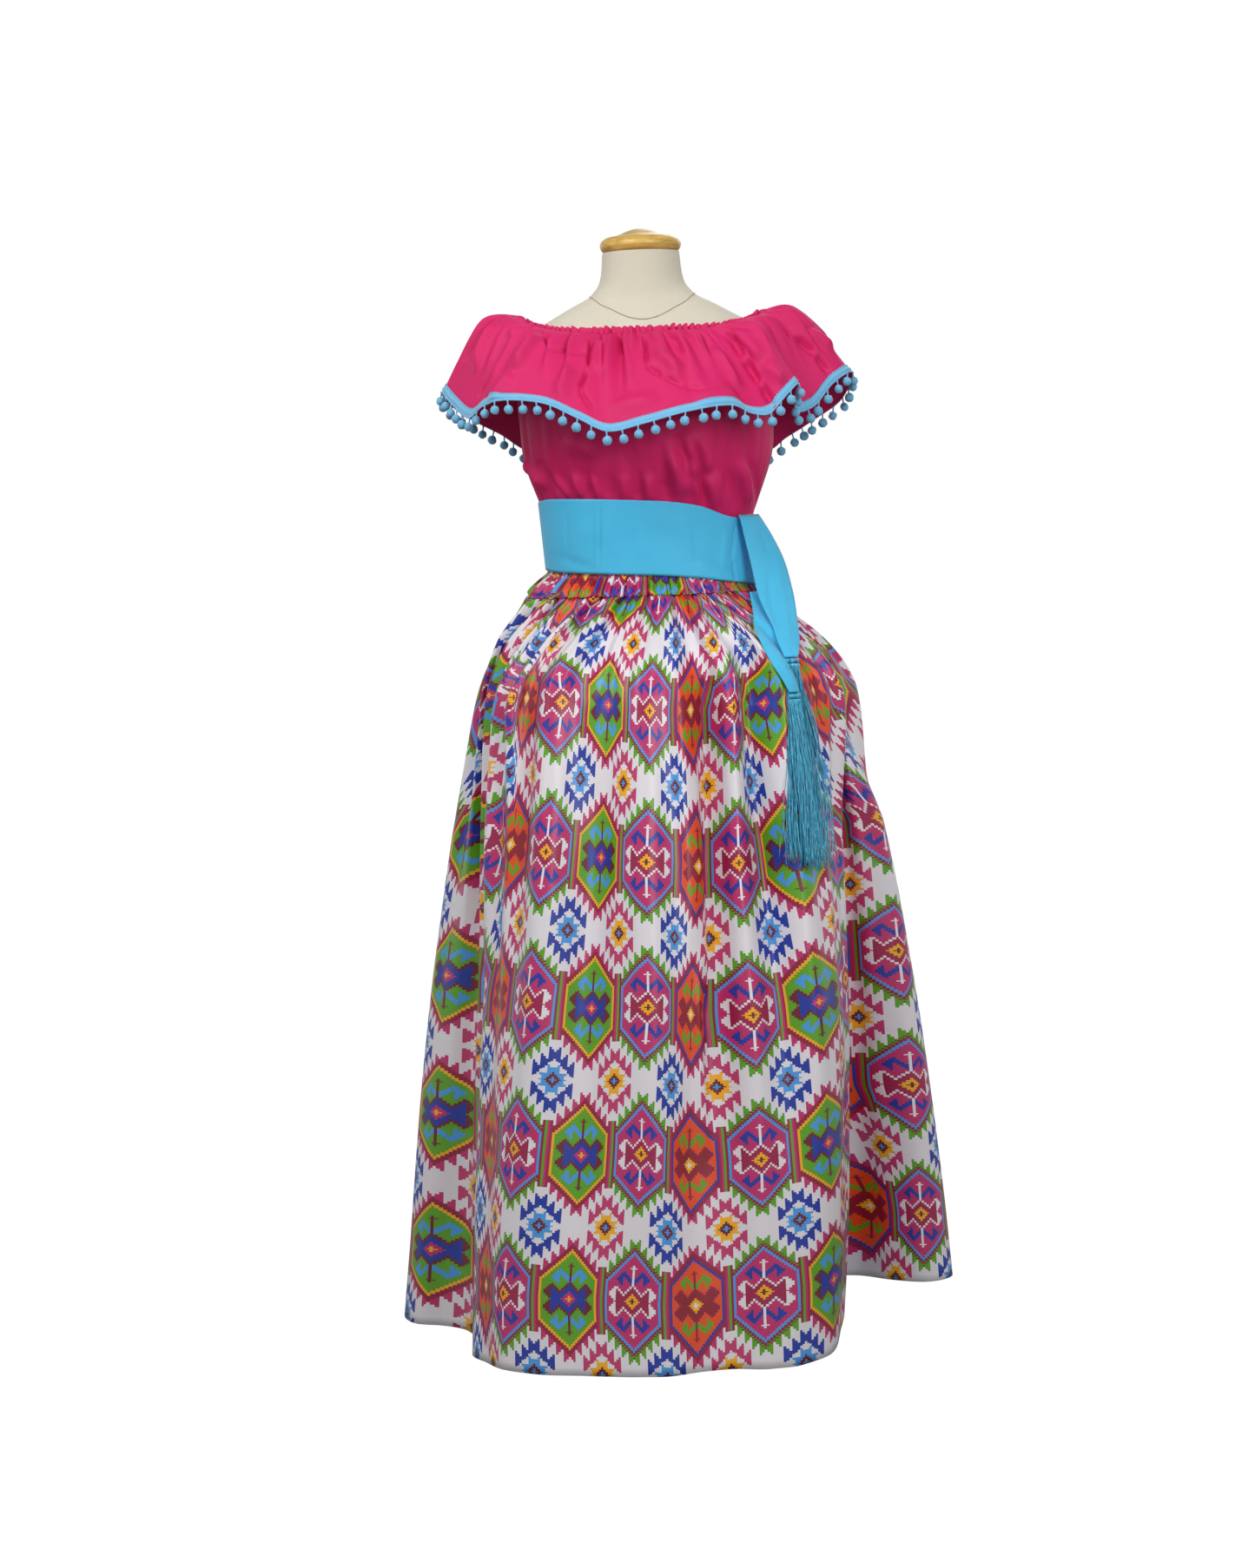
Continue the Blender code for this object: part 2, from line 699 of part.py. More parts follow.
def hang_lock(points, faces, root, rings, tip):
    """Grow one lock of four sides from a root of four point numbers, through rings, to a tip."""
    before = root
    for ring in rings:
        first = len(points)
        points.extend(ring)
        after = [first + k for k in range(4)]
        for k in range(4):
            m = (k + 1) % 4
            faces.append((before[k], before[m], after[m], after[k]))
        before = after
    points.append(tip)
    for k in range(4):
        faces.append((before[k], before[(k + 1) % 4], len(points) - 1))


def square_ring(centre, along, across, half_along, half_across):
    """Four points round a centre, in the order of a root: outer left, outer right, inner right, left."""
    return [
        centre - along * half_along + across * half_across,
        centre + along * half_along + across * half_across,
        centre + along * half_along - across * half_across,
        centre - along * half_along - across * half_across,
    ]


def pompom_trim(ruffle_grid, normals):
    """Braid round the ruffle's hem, with a pompom on a stem below every second column."""
    count = len(ruffle_grid[0])
    inner_off = CLOTH / 2 + SEAM + 0.0002
    outer_off = inner_off + BRAID_WALL
    stem_share = 0.30
    cells = []
    for j in range(count):
        if j % 2 == 0:
            cells += [(j, 0.0, True), (j, stem_share, False)]
        else:
            cells += [(j, 0.0, False)]

    def braid_point(row, cell, off):
        j, share = cell[0], cell[1]
        k = (j + 1) % count
        low = ruffle_grid[row][j] + normals[row][j] * off
        high = ruffle_grid[row][k] + normals[row][k] * off
        return low.lerp(high, share)

    size = len(cells)
    points = []
    for row, off in ((-2, outer_off), (-1, outer_off), (-2, inner_off), (-1, inner_off)):
        points += [braid_point(row, cell, off) for cell in cells]
    faces = []
    for j in range(size):
        k = (j + 1) % size
        faces.append((j, size + j, size + k, k))
        faces.append((2 * size + k, 3 * size + k, 3 * size + j, 2 * size + j))
        faces.append((j, k, 2 * size + k, 2 * size + j))
        root = (size + j, size + k, 3 * size + k, 3 * size + j)
        if not cells[j][2]:
            faces.append(tuple(reversed(root)))
            continue
        left, right = points[size + j], points[size + k]
        middle = sum((points[i] for i in root), Vector()) / 4.0
        along = (right - left)
        along.z = 0.0
        along.normalize()
        across = along.cross(Vector((0.0, 0.0, 1.0)))
        down = Vector((0.0, 0.0, -1.0)) + across * 0.12
        half_stem = STEM_WIDTH / 2
        stem_end = middle + down * STEM_LENGTH
        ball = stem_end + down * (POMPOM_RADIUS * 0.85)
        rings = [
            square_ring(stem_end, along, across, half_stem, half_stem),
            square_ring(ball, along, across, POMPOM_RADIUS * 0.78, POMPOM_RADIUS * 0.78),
        ]
        hang_lock(points, faces, root, rings, ball + down * POMPOM_RADIUS)
    add_object("pompom_trim", points, faces, "blue_braid")


def skirt_column(turn, fold, casing_bottom):
    """Return a function from the share of the way down to a point on one column of the skirt."""
    x, y, hip_x, hip_y, bow, rise = fold
    waist = Vector((casing_bottom.x, casing_bottom.y, 0.0))
    hip = Vector((hip_x, hip_y, 0.0))
    edge = Vector((x, y, 0.0))
    outward = hip.normalized()
    top, bottom = casing_bottom.z, SKIRT_EDGE + rise

    def point(down):
        over_hips = math.sin(0.5 * math.pi * min(down / HIP_DOWN, 1.0) ** HIP_ROUND)
        below_hips = (1.0 + HIP_EASE) * down**2 / (down + HIP_EASE)
        spot = waist + (hip - waist) * over_hips + (edge - hip) * below_hips
        spot += outward * (bow * math.sin(math.pi * down))
        spot.z = top + down * (bottom - top)
        return spot

    return point, outward


def skirt_grid():
    """Casing points and skirt points, column by column round the waist."""
    front, back = 2 * FRONT_GATHERS, 2 * BACK_GATHERS
    turns = column_turns(front, back, SIDE_SEAM_TURN)
    folds = panel_columns(SKIRT_FRONT, SKIRT_BACK, 2, front, back)
    casing = []
    for z in (CASING_TOP, SKIRT_TOP + SEAM):
        line = []
        for j, turn in enumerate(turns):
            line.append(form_point(turn, z, CASING_OUT + gather_reach(j, CASING_GATHER)))
            line[-1].z = z
        casing.append(line)
    grid = [[] for _ in SKIRT_ROWS]
    for j, turn in enumerate(turns):
        start = form_point(turn, SKIRT_TOP, CASING_OUT)
        start.z = SKIRT_TOP
        point, outward = skirt_column(turn, folds[j], start)
        for row, (down, reach) in enumerate(SKIRT_ROWS):
            grid[row].append(point(down) + outward * gather_reach(j, reach))
    return casing, grid


def skirt():
    """Waist casing and the two skirt panels."""
    casing, grid = skirt_grid()
    normals = cloth_normals(casing, True)
    level(normals, 0)
    level(normals, -1)
    cloth_wall("skirt_casing", casing, normals, "printed_satin", True, CASING_WALL)
    normals = cloth_normals(grid, True)
    level(normals, 0)
    level(normals, -1)
    cloth_panels(("skirt_front", "skirt_back"), grid, normals, 2 * FRONT_GATHERS, "printed_satin")
    return grid


def sash_point(turn, share, inset=0.0):
    """A point of the sash at a share of the way down from its top edge."""
    top, bottom, out_top, out_bottom = (round_value(SASH_EDGES, turn, column) for column in (1, 2, 3, 4))
    high = form_point(turn, top, out_top - inset)
    low = form_point(turn, bottom, out_bottom - inset)
    return high.lerp(low, share)


def sash():
    """The outer stretch round the waist and the inner stretch that shows by the wearer's left hip."""
    for name, ends, columns, inset in (
        ("sash_band", SASH_TURNS, SASH_COLUMNS, 0.0),
        ("sash_under", UNDER_TURNS, UNDER_COLUMNS, UNDER_INSET),
    ):
        turns = [ends[0] + (ends[1] - ends[0]) * j / columns for j in range(columns + 1)]
        grid = [[sash_point(turn, share, inset) for turn in turns] for share in (0.0, 0.5, 1.0)]
        cloth_wall(name, grid, cloth_normals(grid, False), "turquoise_ribbon", False, SASH_WALL)


def front_y(grid, x, z, off):
    """How far forward a point at x and z lies to be clear of a wall's level cut by off."""
    cut = []
    for j in range(len(grid[0])):
        column = [line[j] for line in grid]
        for high, low in zip(column, column[1:]):
            if low.z <= z <= high.z:
                cut.append(high.lerp(low, (high.z - z) / (high.z - low.z)).xy)
    pieces = [(a, b) for a, b in zip(cut, cut[1:]) if min(a.y, b.y) < 0.0]
    crossings = [
        a.y + (x - a.x) / (b.x - a.x) * (b.y - a.y)
        for a, b in pieces
        if (a.x - x) * (b.x - x) <= 0.0 and a.x != b.x
    ]
    spot = Vector((x, min(crossings, default=0.0)))
    while min(distance_to(spot, a, b) for a, b in pieces) < off:
        spot.y -= FRONT_STEP
    return spot.y


def distance_to(spot, a, b):
    """Distance from a point to a straight piece of a cut."""
    along = b - a
    share = max(0.0, min(1.0, (spot - a).dot(along) / along.length_squared))
    return (spot - a - along * share).length


def sash_end(name, rows, off, skirt_points):
    """A folded end of the sash that falls down the skirt, clear of it by off."""
    grid = []
    for z, left_x, left_y, right_x, right_y in rows:
        middle_x = (left_x + right_x) / 2.0
        middle_y = (left_y + right_y) / 2.0 - TAIL_SWELL
        grid.append([
            Vector((x, min(y, front_y(skirt_points, x, z, off)) if z < SKIRT_TOP else y, z))
            for x, y in ((left_x, left_y), (middle_x, middle_y), (right_x, right_y))
        ])
    cloth_wall(name, grid, cloth_normals(grid, False), "turquoise_ribbon")
    return grid


def fringe(name, end_grid, rows, off, skirt_points):
    """A knotted strip under a sash end, with its strands hanging apart from it."""
    left, _, right = end_grid[-1]
    drop = Vector((0.0, 0.0, -1.0))
    across = Vector((0.0, -1.0, 0.0))
    half = CLOTH / 2.0
    pitch = (right - left) / FRINGE_STRANDS
    marks = []
    for k in range(FRINGE_STRANDS):
        marks += [left + pitch * (k + 0.5 - STRAND_SHARE / 2), left + pitch * (k + 0.5 + STRAND_SHARE / 2)]
    size = len(marks)
    high = [mark + drop * SEAM * 3 for mark in marks]
    low = []
    for mark in marks:
        z = mark.z - SEAM * 3 - KNOT_BAND
        low.append(Vector((mark.x, front_y(skirt_points, mark.x, z, off), z)))
    points = []
    for side in (across * half, across * -half):
        points += [spot + side for spot in high]
        points += [spot + side for spot in low]
    faces = []
    for j in range(size - 1):
        k = j + 1
        faces.append((j, size + j, size + k, k))
        faces.append((2 * size + k, 3 * size + k, 3 * size + j, 2 * size + j))
        faces.append((j, k, 2 * size + k, 2 * size + j))
        root = (size + j, size + k, 3 * size + k, 3 * size + j)
        if j % 2:
            faces.append(tuple(reversed(root)))
            continue
        share = j / (size - 2) * 2.0 - 1.0
        thick = pitch.length * STRAND_SHARE / 2.0
        rings = []
        for z, x, spread in rows:
            spot_x = x + share * spread
            spot = Vector((spot_x, front_y(skirt_points, spot_x, z, off), z))
            rings.append(square_ring(spot, Vector((1.0, 0.0, 0.0)), across, thick, half))
        tip = spot + drop * 0.012
        hang_lock(points, faces, root, rings, tip)
    last = size - 1
    faces.append((0, 2 * size, 3 * size, size))
    faces.append((last, size + last, 3 * size + last, 2 * size + last))
    add_object(name, points, faces, "turquoise_ribbon")


def main():
    clear_scene()
    dress_form()
    stand()
    blouse()
    ruffle()
    skirt_points = skirt()
    sash()
    front_end = sash_end("sash_tail_front", TAIL_FRONT, TAIL_FRONT_OFF, skirt_points)
    back_end = sash_end("sash_tail_back", TAIL_BACK, TAIL_BACK_OFF, skirt_points)
    fringe("fringe_front", front_end, FRINGE_FRONT, TAIL_FRONT_OFF, skirt_points)
    fringe("fringe_back", back_end, FRINGE_BACK, TAIL_BACK_OFF, skirt_points)


main()
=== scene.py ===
"""Looks for the adelita set: the dress form, blouse, sash, skirt and trims in fine
cloth, with their materials, the lights and the camera.

Metres, +Z up, the wearer faces -Y and +X is the wearer's left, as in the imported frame.
Cloth is worked out on grids of points: rows run down the cloth, and columns run round
the body from the wearer's right side through the front. A share of 0 to 1 runs along a
front panel, and 1 to 2 along a back panel.
"""
import math
from functools import partialmethod

import bpy
import numpy as np
from mathutils import Matrix, Vector


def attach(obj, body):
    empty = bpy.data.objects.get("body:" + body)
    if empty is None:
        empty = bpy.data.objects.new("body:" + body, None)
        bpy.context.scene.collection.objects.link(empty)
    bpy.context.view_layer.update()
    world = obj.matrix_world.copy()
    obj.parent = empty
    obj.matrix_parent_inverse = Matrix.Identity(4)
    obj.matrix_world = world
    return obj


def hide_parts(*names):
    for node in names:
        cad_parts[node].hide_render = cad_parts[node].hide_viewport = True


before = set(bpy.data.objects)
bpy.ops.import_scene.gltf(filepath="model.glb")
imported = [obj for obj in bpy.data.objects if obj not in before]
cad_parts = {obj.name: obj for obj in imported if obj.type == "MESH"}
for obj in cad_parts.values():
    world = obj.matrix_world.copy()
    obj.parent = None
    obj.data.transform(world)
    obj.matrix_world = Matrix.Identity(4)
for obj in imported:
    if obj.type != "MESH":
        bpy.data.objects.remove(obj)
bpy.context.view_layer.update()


def mm(*rows):
    """Rows of a table in millimetres, as metres."""
    return np.array(rows, float) / 1000.0


TAU = 2.0 * math.pi
# The wall of most cloth, and the room left between pieces.
CLOTH = 0.0012
SEAM = 0.0003

# The camera: lens in mm, place, and how far it tips down and rolls, in degrees.
LENS = 73.99
CAMERA_PLACE = (-0.042, -4.2, 1.0568)
CAMERA_TILT = 4.54
CAMERA_ROLL = -2.1

FORM_BOTTOM = 0.700
NECK_TOP = 1.410
BLOUSE_HEM = 0.955
BLOUSE_CHEST = 1.250

SKIRT_TOP = 0.970
CASING_TOP = 1.012
SKIRT_EDGE = 0.030
CASING_OUT = 0.0054
CASING_WALL = 0.0016
CASING_PUFF = 0.0022
CASING_PUCKER = 0.0012
# The casing's stitched line: its place and width as shares of the depth, and how flat it holds the cloth.
STITCH_PLACE = 0.10
STITCH_WIDTH = 0.06
STITCH_HOLD = 0.6
SIDE_SEAM_TURN = 0.472
# The hips: how far down the skirt they are, how round they are, and how soon the cloth falls straight.
HIP_DOWN = 0.150
HIP_ROUND = 1.0
HIP_EASE = 0.060

NECK_CASING = 0.012
NECK_DROP = 0.003
BLOUSE_DROP = 0.0005
BLOUSE_TUCK = 0.0012
NECK_OUT = 0.0074
NECK_WALL = 0.0024
NECK_COLUMNS = 900
NECK_PUCKER = 0.0014
NECK_SWELL = 0.0007
NECK_SCALLOP = 0.0013
NECK_GROOVE = 0.0007
NECK_GROOVE_WIDTH = 0.0022
CENTRE_GROOVE = 0.0005
CENTRE_GROOVE_WIDTH = 0.0025
BLOUSE_COLUMNS = 145
BLOUSE_PUCKER = 0.0008

# Counts and seeds of the gathers. Neighbouring pieces share the neck's and the waist's.
NECK_GATHERS = (88, 21)
WAIST_GATHERS = (72, 3)
SKIRT_WAVES = (28, 5)
CASING_GATHERS = (150, 8)
BLOUSE_GATHERS = (72, 12)
RUFFLE_WAVES = (42, 33)
RUFFLE_UNEVEN = (11, 41)

FRONT_POMPOMS = 40
BACK_POMPOMS = 34
POMPOM_SHIFT = 0.075
BRAID = 0.010
BRAID_WALL = 0.0010
BRAID_GAP = 0.0002
BRAID_RIDGE = 0.0008
BRAID_STEPS = 3
RUFFLE_DEPTH = 0.170
RUFFLE_ROUND = 0.62
RUFFLE_LEVELS = 49
STEM_LENGTH = 0.0070
POMPOM_RADIUS = 0.0060
KNOTS = 11
KNOT_DROP = 0.0035
KNOT_STEP = 0.0065
KNOT_SIZE = (0.0021, 0.0019, 0.0030)
STRAND_WAVE = (0.002, 0.009)
STRAND_RADII = (0.0007, 0.0005)

SASH_WALL = 0.0014
SASH_TURNS = (-0.485, 0.418)
UNDER_TURNS = (0.395, 0.530)
UNDER_INSET = 0.0022
TAIL_FRONT_OFF = 0.0130
TAIL_BACK_OFF = 0.0084
TAIL_SWELL = 0.0030
# Turns a table of falling heights into one of rising keys, as a curve needs.
TURNED = np.array([-1.0, 1.0, 1.0, 1.0, 1.0])


# Torso sections from the hips up: half width, half depth, and how far forward the middle lies.
FORM_SECTIONS = mm(
    # z, half_width, half_depth, forward
    (700, 156, 110, 0), (730, 164, 116, 0), (800, 168, 119, 0), (880, 158, 112, 0), (955, 140, 100, 1),
    (1010, 127.5, 92, 3), (1050, 126.5, 91, 4), (1090, 137, 97, 7), (1145, 154.5, 111, 13),
    (1200, 160, 119, 16), (1250, 166, 106, 8), (1280, 166, 92, 2), (1302, 158, 81, -2),
    (1316, 140, 73, -3), (1328, 118, 66, -3), (1342, 93, 59, -2), (1354, 70, 54, 0), (1372, 55, 51, 2),
    (1410, 49.5, 49, 3),
)

# How far the middle of the blouse's wall stands off the form.
BLOUSE_EASE = mm(
    # z, ease
    (955, 1.6), (1020, 1.7), (1060, 2.2), (1100, 3.6), (1150, 4.4), (1200, 3.6), (1260, 4.2), (1340, 4),
)

# Armholes: half of the opening at each side of the body, as a share of a turn.
ARMHOLE = [
    # z, half_opening
    (1.198, 0.0002), (1.202, 0.003), (1.222, 0.024), (1.25, 0.04),
]

# Height of the neckline round the body: turn 0 is the wearer's right side, 0.25 the front.
NECKLINE = [
    # turn, z
    (0, 1.314), (0.08, 1.308), (0.15, 1.3), (0.25, 1.297), (0.35, 1.299), (0.42, 1.308), (0.5, 1.315),
    (0.62, 1.308), (0.75, 1.302), (0.88, 1.308),
]

# Ruffle hem, a row for each tip, dip or turn of a wave, and how high the cloth arches on its way there.
RUFFLE_FRONT = mm(
    # x, y, z, arch
    (-263, 4, 1240, 36), (-250, -30, 1224, 36), (-226, -78, 1203, 31), (-205, -112, 1216, 24),
    (-176, -140, 1221, 20), (-128, -165, 1214, 16), (-88, -185, 1194, 14), (-50, -195, 1176, 10),
    (-5, -200, 1184, 12), (50, -197, 1197, 14), (102, -180, 1203, 16), (128, -163, 1193, 16),
    (152, -150, 1192, 20), (172, -140, 1212, 24), (190, -122, 1229, 28), (186, -94, 1212, 28),
    (190, -70, 1196, 30), (215, -52, 1204, 28), (238, -38, 1230, 28), (262, -18, 1246, 27),
)

RUFFLE_BACK = mm(
    # x, y, z, arch
    (268, 14, 1240, 26), (254, 56, 1212, 24), (218, 96, 1188, 22), (188, 136, 1170, 20),
    (158, 152, 1152, 16), (110, 156, 1166, 14), (62, 178, 1168, 14), (14, 190, 1152, 12),
    (-36, 176, 1160, 14), (-84, 166, 1172, 14), (-126, 168, 1162, 16), (-162, 152, 1166, 18),
    (-192, 114, 1186, 24), (-227, 71, 1205, 30), (-256, 34, 1226, 34),
)

# Skirt folds, a row each: where the fold meets the hem and the hip line, how far the cloth
# swells out half way down, and how far the edge is drawn up.
SKIRT_FRONT = mm(
    # x, y, hip_x, hip_y, bow, rise
    (-358, 30, -197, 20, 18, 0), (-360, -12, -201, -6, 18, 0), (-342, -50, -199, -30, 17, 0),
    (-306, -66, -192, -48, 10, 0), (-274, -96, -188, -64, 6, 0), (-260, -150, -190, -86, 6, 0),
    (-262, -225, -188, -108, 12, 0), (-244, -265, -177, -128, 14, 0), (-210, -303, -156, -148, 14, 0),
    (-165, -336, -127, -162, 12, 0), (-113, -349, -93, -172, 10, 0), (-50, -356, -47, -184, 12, 0),
    (-16, -361, -14, -186, 12, 0), (24, -349, 22, -178, 6, 0), (62, -341, 55, -176, 10, 0),
    (108, -338, 96, -176, 14, 0), (146, -330, 135, -168, 18, 0), (176, -288, 171, -150, 24, 2),
    (198, -206, 201, -122, 28, 6), (212, -122, 216, -88, 26, 12), (208, -36, 216, -52, 16, 18),
)

SKIRT_BACK = mm(
    # x, y, hip_x, hip_y, bow, rise
    (212, 26, 211, -28, 12, 22), (240, 26, 211, -12, 16, 24), (282, -12, 215, 2, 24, 26),
    (328, -30, 218, 16, 30, 26), (362, -6, 220, 34, 30, 26), (362, 56, 216, 58, 24, 22),
    (322, 108, 206, 80, 14, 18), (284, 158, 196, 104, 10, 14), (274, 226, 188, 130, 12, 10),
    (246, 298, 170, 158, 14, 6), (186, 344, 137, 180, 14, 2), (116, 342, 96, 188, 10, 0),
    (60, 312, 58, 184, 6, 0), (4, 318, 14, 186, 8, 0), (-54, 350, -34, 196, 12, 0),
    (-122, 358, -83, 196, 14, 0), (-190, 334, -129, 182, 14, 0), (-236, 276, -161, 156, 10, 0),
    (-254, 206, -179, 122, 6, 0), (-292, 150, -190, 86, 10, 0), (-334, 104, -196, 52, 17, 0),
)

# Sash edges round the body, and how far the band's middle stands off the form there.
SASH_EDGES = [
    # turn, top, bottom, out_top, out_bottom
    (0, 1.094, 1.005, 0.0058, 0.0094), (0.08, 1.099, 1.002, 0.0062, 0.0094),
    (0.25, 1.092, 0.995, 0.0062, 0.0094), (0.32, 1.084, 0.989, 0.007, 0.01),
    (0.38, 1.069, 0.982, 0.008, 0.0108), (0.5, 1.061, 0.974, 0.0086, 0.0112),
    (0.62, 1.07, 0.976, 0.007, 0.0104), (0.75, 1.078, 0.984, 0.0058, 0.0094),
    (0.9, 1.088, 0.996, 0.0058, 0.0094),
]

# Sash ends, a row for each level of their two edges.
TAIL_FRONT = mm(
    # z, left_x, left_y, right_x, right_y
    (1068, 112, -70, 139, -38), (1062, 114, -77, 142.5, -49), (1040, 118.5, -78, 155.5, -40),
    (1006, 125.5, -84, 170, -50), (969.5, 132, -98, 178, -70), (952, 137, -112, 180, -86),
    (942, 141, -120, 180.5, -96), (925, 148, -134, 181.2, -112), (908, 153, -150, 181.5, -130),
    (894.5, 158, -157, 179, -144), (888, 160, -160, 178, -150),
)

TAIL_BACK = mm(
    # z, left_x, left_y, right_x, right_y
    (969.5, 122.5, -70, 154, -40), (961, 123.5, -80, 158.5, -52), (952, 124.5, -93, 161.5, -64),
    (942, 124.7, -106, 165, -76), (925, 125, -126, 168.5, -92), (908, 131, -142, 171.3, -108),
    (894.5, 136.5, -148, 172.3, -112), (880, 144, -152, 173.3, -120), (866, 152.5, -156, 174.2, -132),
    (846, 163, -160, 176.5, -150),
)

# Fringes under each end: the middle of the strands on their way down, and half their spread.
FRINGE_FRONT = mm(
    # z, x, spread
    (851, 172.6, 10), (786, 180, 12.5), (711, 187, 14.5), (636, 190, 16.5),
)

FRINGE_BACK = mm(
    # z, x, spread
    (808, 169, 8.5), (770, 170, 10), (710, 170, 13), (642, 168, 16),
)

# Turned neck cap: radius and height above the neck's end.
CAP_PROFILE = mm(
    # radius, z
    (47, 0), (50.5, 3), (52.5, 8.5), (50.5, 14.5), (46.5, 17.5), (44, 18.8), (36, 20.2), (28, 22.4),
    (19, 26.2), (10, 29), (3, 29.8),
)

# The neck seam dips to a point at the front: turn round the body, height.
NECK_SEAM = [
    # turn, z
    (0, 1.356), (0.1, 1.35), (0.18, 1.337), (0.25, 1.321), (0.32, 1.337), (0.4, 1.35), (0.5, 1.356),
    (0.75, 1.36),
]

# Outlines of the hidden stand: radius and height.
POLE_PROFILE = mm(
    # radius, z
    (12.5, 44.3), (12.5, 672), (45, 676), (45, 699.7),
)
BASE_PROFILE = mm(
    # radius, z
    (155, 0), (155, 10), (153.8, 12.8), (149, 14), (34, 16), (27, 24), (24, 40), (20, 44),
)

SKIRT_FRONT_COLUMNS = 440
SKIRT_BACK_COLUMNS = 300
SHARES = np.concatenate([np.arange(SKIRT_FRONT_COLUMNS) / SKIRT_FRONT_COLUMNS,
                         1.0 + np.arange(SKIRT_BACK_COLUMNS) / SKIRT_BACK_COLUMNS])
CASING_COLUMNS = 400
# How far the casing and the skirt's top flare out where no sash holds them in.
FLARE = 0.019
FLARE_RUN = 0.034
# The casing is a strip of its own: where its printed columns lie, and the height of its pattern.
CASING_PATTERN = [
    # share, column
    (0, 1.2), (0.27, 3), (0.42, 4), (0.57, 5), (0.7, 6), (1, 8), (2, 13.2),
]
CASING_ROW_Z = 0.9990
GATHER_FINE = 0.0034
GATHER_SOFT = 0.0070
FINE_GATHERS = [
    # down, strength
    (0, 0.9), (0.03, 1), (0.08, 0.5), (0.15, 0),
]
SOFT_GATHERS = [
    # down, strength
    (0, 0.3), (0.05, 1), (0.18, 0.9), (0.45, 0.35), (0.8, 0.1), (1, 0),
]
# Soft folds of the skirt: a printed column, and how far the cloth stands out there, in
# millimetres, at each of the five rows of hexagons from the hips down to the hem.
SKIRT_FOLDS = [
    # column, row_5, row_4, row_3, row_2, row_1
    (-5, 0, 0, 0, 0, 0), (-4, 3.1, 3.1, 3.1, 1.6, 0), (-3, 4, 6, 7, 6.2, 3.1), (-2.2, 3, 3, 1, 0, 0),
    (-1.9, 0, -4, -4, -2, 0), (-1, -6, -9, -8, -4.7, -1.6), (0, 12.4, 18.6, 17.1, 12.4, 6.2),
    (0.5, 3.1, 6.2, 6.2, 4.7, 1.6), (1, -10.8, -17.1, -12.4, -7.8, -3.1), (1.5, 0, 0, 0, 0, 0),
    (2, 9.3, 17.1, 15.5, 10.8, 4.7), (2.5, 3.1, 7.8, 9.3, 4.7, 1.6), (3.02, 6.2, 10.8, 3.1, -6.2, -3.1),
    (3.3, 1.6, -3.1, 6.2, -7.8, -3.1), (3.42, -7.8, -9.3, -9.3, -6.2, -3.1),
    (3.6, -6.2, -6.2, -6.2, -3.1, -1.6), (4, 10.8, 14, 15.5, 10.8, 6.2), (4.5, -7.8, -10.8, -3.1, 0, 0),
    (5, 9.3, 15.5, 18.6, 14, 7.8), (5.6, 3.1, 0, -3.1, -3.1, 0), (6.2, -6.2, -9.3, -9.3, -6.2, 0),
    (7, 0, -4.7, -4.7, -3.1, 0), (8, 7.8, 9.3, 9.3, 6.2, 3.1), (8.9, -6.2, -7.8, -6.2, -4.7, -1.6),
    (9.7, 9.3, 12.4, 12.4, 7.8, 3.1), (10.6, -10.8, -14, -9.3, -4.7, -1.6),
    (11.8, 10.8, 15.5, 17.1, 12.4, 6.2), (12.5, -4.7, -6.2, -7.8, -4.7, -1.6),
    (13.1, 4.7, 7.8, 4.7, 3.1, 0), (14.2, -14, -17.1, -14, -7.8, -3.1),
    (15.3, 12.4, 18.6, 15.5, 10.8, 4.7), (16, -6.2, -4.7, -3.1, -1.6, 0), (16.6, 6.2, 6.2, 3.1, 1.6, 0),
    (17.6, -10.8, -15.5, -14, -7.8, -3.1), (18.8, 10.8, 14, 15.5, 10.8, 6.2),
    (19.9, -7.8, -10.8, -7.8, -4.7, -1.6), (20.8, 6.2, 9.3, 9.3, 6.2, 3.1), (22, 0, 0, 0, 0, 0),
]

# Printed pattern: cell size, column and row pitch.
CELL_X = 0.00305
CELL_Y = 0.0029
PITCH_X = 0.0885
PITCH_Y = 0.1798
FIRST_ROW = 0.098
